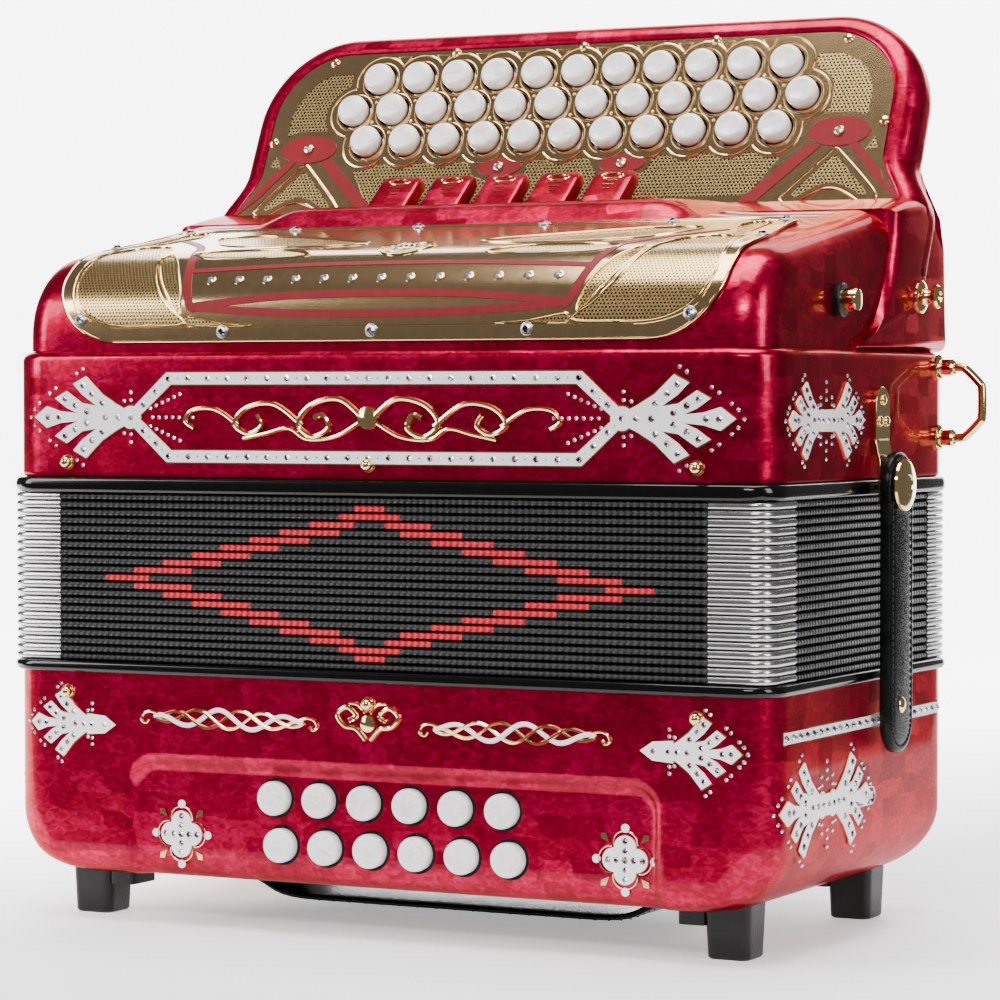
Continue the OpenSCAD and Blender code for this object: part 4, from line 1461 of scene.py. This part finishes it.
def rosette(part, place, cx, cz):
    """A round white flower with a stone cross, gold outline loops and drops between them."""
    def polar(r, angle):
        return (cx + r * math.cos(angle), cz + r * math.sin(angle))

    for k in range(4):
        a = math.pi / 2 * k
        part.patch(circle(*polar(4.6, a), 4.4, 22), place, 0.0, 0.7 + 0.05 * k)
        for r in (3.4, 7.0):
            part.stone(place, *polar(r, a), 1.25, 0.8, 2)
        loop = []
        for ahead, beside_it in arc(6.2, 0, 1, -100, 100, 14):
            ahead = 6.2 + 4.4 * (ahead - 6.2)
            beside_it *= 4.9
            loop.append(place(cx + ahead * math.cos(a) - beside_it * math.sin(a),
                              cz + ahead * math.sin(a) + beside_it * math.cos(a), 0.3))
        part.tube(loop, 0.3, 1, 6)
        part.patch(circle(*polar(11.6, a), 1.6, 14), place, 0.0, 0.5)
        spike = a + math.pi / 4
        drop = [polar(r, spike + d) for r, d in ((9.0, 0), (12.2, -0.11), (13.6, 0), (12.2, 0.11))]
        part.patch(drop, place, 0.0, 0.6, 1)
    part.patch(circle(cx, cz, 3.0, 20), place, 0.3, 1.0)
    part.stone(place, cx, cz, 1.4, 0.95, 2)


BASS_FLEUR = (123, 77)
BASS_EMBLEM_Z = 81


def bass_ornaments():
    """A fleur at each end, a rosette on each side of the buttons, and gold braids and scrolls."""
    x, z = BASS_FLEUR
    part = Part()
    for side in (-1, 1):
        fleur(part, front_skin, side * x, z, 2 if side < 0 else 0, 28.5, 13)
        tip = [(side * (x + a), z + b) for a, b in ((2, 4), (-6, 3.4), (-11, 0), (-6, -3.4), (2, -4))]
        part.patch(tip, front_skin, 0.3, 0.9)
        part.stone(front_skin, side * (x - 6), z, 1.1, 0.85, 2)

    def sunk(x, z, out):
        return front_skin(x, z, out - RECESS["depth"])

    rosette(part, sunk, -84.3, 35.8)
    rosette(part, sunk, 104.4, 36.5)
    part.build("bass_inlay", INLAY, "bass_side")
    gold = Part()
    for side in (-1, 1):
        braid(gold, side, 28, 94, BASS_EMBLEM_Z)
        for points, radius in (([(1, -5), (5, -1), (10, 0), (13, 4), (9, 7), (5, 4), (8, 2)], 1.0),
                               ([(1, 5), (4, 8), (8, 8.6)], 0.7)):
            scroll([(side * a, BASS_EMBLEM_Z + b) for a, b in points], gold, front_skin, radius)
    gold.lathe([(0.01, 0), (3.4, 0), (3.1, 1.1), (1.4, 1.8), (0.01, 1.9)], front_skin,
               (0, BASS_EMBLEM_Z + 1), 0, 20)
    gold.build("bass_scrolls", [GOLD_BRIGHT, WHITE], "bass_side")


def double_fleur(inlay, place, y0, y1, z, width):
    """Two fleurs back to back, reaching from y0 to y1."""
    reach = (y1 - y0) / 2 - 5
    middle = (y0 + y1) / 2
    fleur(inlay, place, middle - 5, z, 2, reach, width)
    fleur(inlay, place, middle + 5, z, 0, reach, width, 0.12)
    bar = [(middle - 6, z - 4), (middle + 6, z - 4), (middle + 6, z + 4), (middle - 6, z + 4)]
    inlay.patch(bar, place, 0.3, 1.0)
    inlay.stone(place, middle, z, 1.2, 0.95, 2)
    for k in range(3):
        for sign in (-1, 1):
            inlay.stone(place, middle, z + sign * (width * 0.55 + 3.2 * k), 0.8, 0.08, 3)


def side_ornaments():
    """Double fleurs on both sides, and a stoned line across each bass side."""
    for place, label in ((right_skin, "right"), (left_skin, "left")):
        treble = Part()
        double_fleur(treble, place, -76, -4, 195.5, 14)
        treble.build(f"treble_side_inlay_{label}", INLAY, "treble_side")
        bass = Part()
        double_fleur(bass, place, -81, 4, 55, 17)
        stoned_line(bass, place, [(-78, 82), (75, 82)], 4.2, 6.5)
        bass.build(f"bass_side_inlay_{label}", INLAY, "bass_side")


# ---------------------------------------------------------------- fittings

def ball_pins():
    """Gold ball pins along the front and the back, which hold the bellows frames."""
    r = 2.35
    ball = [(0.01, 4.0)] + [(r * math.sin(math.radians(a)), 1.65 + r * math.cos(math.radians(a)))
                            for a in range(15, 150, 15)] + [(1.2, 0)]
    for node, body in (("treble_bellows_pins", "treble_side"), ("bass_bellows_pins", "bass_side")):
        low, high = box_mm(node)
        z = (low[2] + high[2]) / 2
        reach = high[0] - r
        part = Part()
        for sign in (-1, 1):
            def place(a, b, out, sign=sign):
                return (a, sign * (HALF_D + out), b)

            for x in (-reach, 0, reach):
                part.lathe(ball, place, (x, z), 0, 16)
                part.lathe([(3.0, 0), (2.8, 0.5), (1.4, 0.7)], place, (x, z), 0, 16)
        part.build(node.replace("_pins", "_ball_pins"), [GOLD_BRIGHT], body, [node])


def feet():
    """Four rubber feet, each beside the block that it is screwed to."""
    part = Part()
    for x in (-136.9, 136.9):
        block_x = x - math.copysign(14, x)
        for y in (-63, 55.9):
            part.loft([[(x + a, y + b, h) for a, b in rounded_loop(-half, half, -half, half, 3)]
                       for h, half in ((0, 7.6), (0.8, 8.3), (16, 8.9), (22, 9.1))])
            part.loft([[(block_x + a, y + b, h) for a, b in rounded_loop(-5.4, 5.4, -8.5, 8.5, 1.5)]
                       for h in (BASS_LOW - 6.5, BASS_LOW + 1)])
    part.build("rubber_feet", [RUBBER], "bass_side", ["feet"], 40, 0.6)


def strap_sheet(part, path, y0, y1, thickness, mat=0):
    """A leather strap: a path in the XZ plane with rounded, stitched edges."""
    rows = []
    for i, (x, z) in enumerate(path):
        o = path[max(i - 1, 0)]
        q = path[min(i + 1, len(path) - 1)]
        dx, dz = q[0] - o[0], q[1] - o[1]
        size = math.hypot(dx, dz)
        nx, nz = -dz / size, dx / size
        half = thickness / 2
        upper = [(y0 + 0.8, half * 0.8), (y0 + 3, half), (y1 - 3, half), (y1 - 0.8, half * 0.8)]
        section = [(y0, 0)] + upper + [(y1, 0)] + [(y, -h) for y, h in reversed(upper)]
        rows.append([(x + nx * h, y, z + nz * h) for y, h in section])
    part.loft(rows, mat)


def hand_strap():
    """The leather hand strap under the bass side, stitched along both edges."""
    low, high = box_mm("hand_strap")
    path = open_curve([(-112, 15.3), (-96, 15.3), (-86, 11), (-72, 5.8), (-40, 5.2), (0, 5.2), (40, 5.2),
                       (72, 5.8), (86, 11), (96, 15.3), (112, 15.3)], 5)
    part = Part()
    strap_sheet(part, path, low[1] - MID_Y, high[1] - MID_Y, 2.8)
    part.build("hand_strap_leather", [LEATHER], "bass_side", ["hand_strap"], 40)
    stitches = Part()
    for k in range(4, len(path) - 4):
        x, z = path[k]
        for y in (low[1] - MID_Y + 4, high[1] - MID_Y - 4):
            stitches.lathe([(0.01, 0.45), (0.5, 0.3), (0.5, -0.1)],
                           lambda a, b, out, z=z: (a, b, z - 1.4 - out), (x, y), 0, 6, 0.5)
    stitches.build("hand_strap_stitches", [THREAD], "bass_side")


STRAP_SECTION = [(1.0, 0.0), (0.2, 0.5), (0.0, 1.4), (0.0, 3.2), (0.5, 4.2), (1.8, 4.6), (2.6, 4.35),
                 (3.2, 4.55), (5.5, 4.75)]
SEAM_INSET = 2.6
STITCH = 2.6
STUD_Z = 87.7


def strap_outline(half, z_low, z_high):
    """The upper arc, the near edge, the lower arc and the far edge of a strap with round ends."""
    edge = [z_high - (z_high - z_low) * k / 16 for k in range(1, 16)]
    points = arc(0, z_high, half, 0, 180, 16) + [(-half, z) for z in edge]
    return points + arc(0, z_low, half, 180, 360, 16) + [(half, z) for z in reversed(edge)]


def seam_stitches(part, seam, place, height):
    """Short raised stitches laid end to end along a closed seam."""
    for (a, b), (c, d) in zip(seam, seam[1:] + seam[:1]):
        pieces = max(int(math.hypot(c - a, d - b) / STITCH), 1)
        for m in range(pieces):
            t0, t1 = (m + 0.15) / pieces, (m + 0.8) / pieces
            part.tube([place(a + (c - a) * t, b + (d - b) * t, height + h)
                       for t, h in ((t0, 0), ((t0 + t1) / 2, 0.22), (t1, 0))], 0.32, 0, 6)


def bellows_strap(side, label):
    """A leather strap with round ends, its seam and its gold stud."""
    node = f"bellows_strap_{label}"
    low, high = box_mm(node)
    x_in = low[0] if side > 0 else -high[0]
    yc = (low[1] + high[1]) / 2 - MID_Y
    half = (high[1] - low[1]) / 2
    ends = (low[2] + half, high[2] - half)

    def place(a, b, out):
        return (side * (x_in + out), yc + a, b)

    part = Part()
    part.loft([[place(a, b, h) for a, b in strap_outline(half - inset, *ends)]
               for inset, h in STRAP_SECTION])
    part.build(f"bellows_strap_leather_{label}", [LEATHER], node, [node], 50)
    thread = Part()
    seam_stitches(thread, strap_outline(half - SEAM_INSET, *ends), place, 4.5)
    thread.build(f"bellows_strap_thread_{label}", [THREAD], node)
    stud = Part()
    stud.lathe([(0.01, 5.7), (1.6, 5.6), (2.7, 5.2), (3.1, 4.7), (3.1, 4.2)], place, (0, STUD_Z), 0, 20)
    stud.build(f"bellows_strap_stud_{label}", [GOLD_BRIGHT], node)


def bellows_straps():
    bellows_strap(1, "right")
    bellows_strap(-1, "left")


CHEEK_X = BOARD_HALF + FLARE_W
LOOP_Y = 77
LOOP_Z = (LEDGE - 6.3, LEDGE - 33.8)
BRACKET_Y = 13
BRACKET_Z = TREBLE_LOW + 15
KNOB_Z = TREBLE_LOW - 2


def strap_loops():
    """Wire loops for the shoulder straps, each held in two turned posts."""
    half_path = [(4.8, 0), (9.5, 0), (12, 1), (17.2, 6.2), (18.2, 8.5)]
    top, low = LOOP_Z
    part = Part()
    for side in (-1, 1):
        place = beside(side, HALF_W)
        path = [place(LOOP_Y, top - drop, out) for out, drop in half_path]
        path += [place(LOOP_Y, low + drop, out) for out, drop in reversed(half_path)]
        part.tube(open_curve(path, 5), 1.8, 0, 14)
        for z in LOOP_Z:
            part.lathe([(5.1, 0), (5.1, 0.8), (4.4, 1.4), (3.4, 1.6), (3.1, 2.4), (3.3, 3.2),
                        (3.4, 6.2), (2.6, 7.0), (0.01, 7.2)], place, (LOOP_Y, z), 0, 24)
    part.build("strap_wire_loops", [GOLD_BRIGHT], "treble_side", ["strap_loops"])


def strap_end_buttons():
    part = Part()
    for side in (-1, 1):
        part.lathe([(6.5, 0), (6.4, 0.7), (5.2, 1.5), (3.4, 2.0), (2.8, 3), (2.8, 4.8), (3.6, 5.3),
                    (4.5, 5.8), (4.6, 7), (4.0, 7.9), (2.2, 8.0), (1.9, 7.2), (0.01, 7.2)],
                   beside(side, CHEEK_X), (58, LEDGE + 21), 0, 28)
    part.build("strap_end_buttons", [GOLD_BRIGHT], "treble_side", ["strap_buttons"])


def strap_brackets():
    """Round-topped plates, cranked outwards over the bellows to carry the strap knobs."""
    half = 7
    screw_z = BRACKET_Z + 7
    part = Part()
    for side in (-1, 1):
        place = beside(side, HALF_W)
        plate = [(BRACKET_Y - half, BRACKET_Z), (BRACKET_Y + half, BRACKET_Z)]
        plate += arc(BRACKET_Y, BRACKET_Z + 13, half, 0, 180, 12)
        part.flat([plate], in_polygon(plate), place, 0.0, 1.8, 0, (), True)
        across = [BRACKET_Y - half + 2 * half * k / 4 for k in range(5)]
        rows = []
        for drop, out in [(0, 1.7), (4, 2.4), (8, 3.4), (14, 3.65), (25, 3.65)]:
            rows.append([place(y, BRACKET_Z - drop, out) for y in across]
                        + [place(y, BRACKET_Z - drop, out - 1.3) for y in reversed(across)])
        part.loft(rows)
        for screw in ((BRACKET_Y, BRACKET_Z + 15), (BRACKET_Y - 3.4, screw_z), (BRACKET_Y + 3.4, screw_z)):
            part.lathe([(2.0, 1.8), (1.9, 2.5), (1.0, 2.9), (0.01, 2.9)], place, screw, 0, 16)
    part.build("strap_bracket_plates", [GOLD_BRIGHT], "treble_side",
               ["strap_brackets"], 35, 0.3)


def strap_knobs():
    part = Part()
    for side in (-1, 1):
        part.lathe([(4.4, 3.7), (4.4, 9.2), (9.2, 9.6), (10, 10.3), (9.8, 11.2), (8.2, 12.1),
                    (4, 12.5), (3.6, 12.1), (2.2, 12.0), (0.01, 12.2)],
                   beside(side, HALF_W), (BRACKET_Y, KNOB_Z), 0, 36)
    part.build("strap_disc_knobs", [GOLD_BRIGHT], "treble_side", ["strap_knobs"])


def thumb_screw():
    """A knurled gold head on a black rubber collar."""
    low, high = box_mm("thumb_screw")
    y, z = (low[1] + high[1]) / 2 - MID_Y, (low[2] + high[2]) / 2
    place = beside(1, HOOD_HALF)
    part = Part()
    part.lathe([(6.0, 0.3), (6.3, 0.8), (6.3, 3.0), (5.8, 3.6), (4.4, 3.6)], place, (y, z), 1, 28)
    rings = []
    for h, r in ((3.4, 4.0), (3.8, 4.3), (8.0, 4.3), (8.8, 4.0), (9.1, 3.2), (9.15, 0.01)):
        knurl = 0.2 if 3.6 < h < 8.5 else 0
        rim = [(r - knurl * (k % 2), t) for k, t in enumerate(turn(48))]
        rings.append([place(y + a * math.cos(t), z + a * math.sin(t), h) for a, t in rim])
    part.loft(rings)
    part.build("thumb_screw_head", [GOLD_BRIGHT, RUBBER], "thumb_screw", ["thumb_screw"])


AIR_Z = 54


def air_lever():
    """The air lever's tab in its long slot, on the right of the bass side."""
    slot = Part()
    rim = arc(-19.5, AIR_Z, 3.2, 90, 270, 10) + arc(5.5, AIR_Z, 3.2, -90, 90, 10)
    slot.tube([on_right(y, z, 0.3) for y, z in rim], 0.45, 0, 6, True)
    slot.build("air_slot_rim", [NICKEL], "bass_side")
    part = Part()
    part.lathe([(0.01, 1.9), (2.0, 1.7), (2.4, 1.0), (2.4, -1.5)], on_right, (-6, AIR_Z), 0, 20)
    part.box(on_right, -6, AIR_Z - 1.4, 6, AIR_Z + 1.4, -1.0, 0.9, 1)
    part.build("air_lever_tab", [PEARL, NICKEL], "air_lever", ["air_lever"], 35, 0.3)


PINSTRIPES = [[(86, 141), (103, 131), (118, 129), (137, 128)],
              [(88, 149), (104, 141), (120, 138), (140, 136)],
              [(92, 158), (104, 153), (120, 150), (140, 148)]]


def hood_trim():
    """White pinstripes beside the register deck."""
    part = Part()
    for line in PINSTRIPES:
        for side, shift in ((1, 0), (-1, 14)):
            curve = open_curve([(side * (x + shift * (140 - x) / 54), s) for x, s in line], 6)
            section = ((-0.7, 0.0), (-0.7, 0.35), (0.7, 0.35), (0.7, 0.0))
            part.loft([[on_hood(x, s + w, h) for w, h in section] for x, s in curve])
    part.build("hood_pinstripes", [WHITE], "treble_side")


# ---------------------------------------------------------------- stage, light and camera

FLOOR_FRONT = -0.29
FLOOR_BACK = 1.3
WALL_TOP = 2.2
FLOOR_LEFT = -2.4
FLOOR_RIGHT = 0.42


def stage():
    """A pale floor that sweeps up into a backdrop, which glows more towards the back and the left."""
    sweep = 0.5
    profile = [(FLOOR_FRONT, 0.0), (FLOOR_BACK, 0.0)]
    profile += arc(FLOOR_BACK, sweep, sweep, -90, 0, 9)[1:]
    profile.append((FLOOR_BACK + sweep, WALL_TOP))
    verts = [(x, y, z) for y, z in profile for x in (FLOOR_LEFT, FLOOR_RIGHT)]
    faces = [(2 * k, 2 * k + 1, 2 * k + 3, 2 * k + 2) for k in range(len(profile) - 1)]
    ground = bpy.data.meshes.new("floor")
    ground.from_pydata(verts, [], faces)
    ground.shade_smooth()
    f = Finish("pale paper")
    place = f.node("SeparateXYZ", {"Vector": f.node("TexCoord", {})["Object"]})
    slope = f.node("Math", {0: place["X"], 1: -2.2, 2: place["Y"]}, operation="MULTIPLY_ADD")[0]
    glow = f.node("MapRange", {"Value": slope, "From Min": 0.1, "From Max": 1.2, "To Min": 0.45,
                               "To Max": 4.5})["Result"]
    ground.materials.append(f.shader({"Base Color": (0.93, 0.93, 0.935, 1), "Roughness": 0.7,
                                      "Emission Color": (1, 1, 1, 1), "Emission Strength": glow}))
    obj = bpy.data.objects.new("floor", ground)
    bpy.context.scene.collection.objects.link(obj)
    obj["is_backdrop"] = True


def area_light(name, place, target, size, power, size_y=None):
    light = bpy.data.lights.new(name, "AREA")
    light.shape = "RECTANGLE"
    light.size = size
    light.size_y = size_y or size
    light.energy = power
    obj = bpy.data.objects.new(name, light)
    obj.location = place
    obj.rotation_euler = (Vector(target) - Vector(place)).to_track_quat("-Z", "Y").to_euler()
    bpy.context.scene.collection.objects.link(obj)


def lights():
    middle = (0, 0, 0.18)
    area_light("left soft box", (-1.5, -1.2, 0.9), middle, 0.6, 30, 1.3)
    area_light("right soft box", (1.7, -0.5, 0.8), middle, 0.5, 19, 1.2)
    area_light("top soft box", (0.0, -0.1, 1.7), middle, 1.2, 48)
    area_light("front strip", (0.6, -2.3, 1.5), middle, 1.1, 34, 0.35)
    world = bpy.data.worlds.new("studio")
    world.use_nodes = True
    world.node_tree.nodes["Background"].inputs["Color"].default_value = (0.95, 0.97, 1.0, 1)
    world.node_tree.nodes["Background"].inputs["Strength"].default_value = 0.16
    bpy.context.scene.world = world


def camera():
    yaw = 0.4732
    pitch = 0.02796
    data = bpy.data.cameras.new("camera")
    data.sensor_width = 36
    data.lens = 3.6607 * data.sensor_width
    data.clip_end = 20
    obj = bpy.data.objects.new("camera", data)
    obj.location = (0.66596, -1.2846 + MID_Y * MM, 0.20387)
    level = math.cos(pitch)
    forward = Vector((-math.sin(yaw) * level, math.cos(yaw) * level, -math.sin(pitch)))
    obj.rotation_euler = forward.to_track_quat("-Z", "Y").to_euler()
    bpy.context.scene.collection.objects.link(obj)
    bpy.context.scene.camera = obj


def finish_cad_nodes():
    """Gives the CAD parts that stay in view their procedural finishes."""
    finishes = {"wood": WOOD, "steel": STEEL, "black_gloss": RUBBER, "gold_brass": GOLD_BRIGHT,
                "red_pearloid": RED, "black_leather": LEATHER, "white_pearl": PEARL, "red_cloth": CLOTH,
                "nickel": NICKEL, "bellows_cloth": FOLD}
    slots = {s["node"]: s["material_slot"] for s in frame["record"]["subparts"]}
    for name, obj in frame["nodes"].items():
        obj.data.materials.clear()
        obj.data.materials.append(finishes[slots[name]])


camera()
stage()
lights()
finish_cad_nodes()
bass_casing()
treble_casing()
hood()
fingerboard_shell()
bellows_frames()
bellows()
treble_buttons()
bass_buttons()
fingerboard_face()
fingerboard_relief()
fingerboard_shade_sheet()
fingerboard_enamel()
fingerboard_studs()
grille_plate()
grille_relief()
grille_lining()
grille_enamel()
grille_stones()
grille_medallion()
register_plateau()
register_switches()
name_panel()
bass_ornaments()
side_ornaments()
ball_pins()
feet()
hand_strap()
bellows_straps()
strap_loops()
strap_end_buttons()
strap_brackets()
strap_knobs()
thumb_screw()
air_lever()
hood_trim()

cad, shown = ([[float(c) for c in corner] for corner in bounds]
              for bounds in (cad_bounds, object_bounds()))
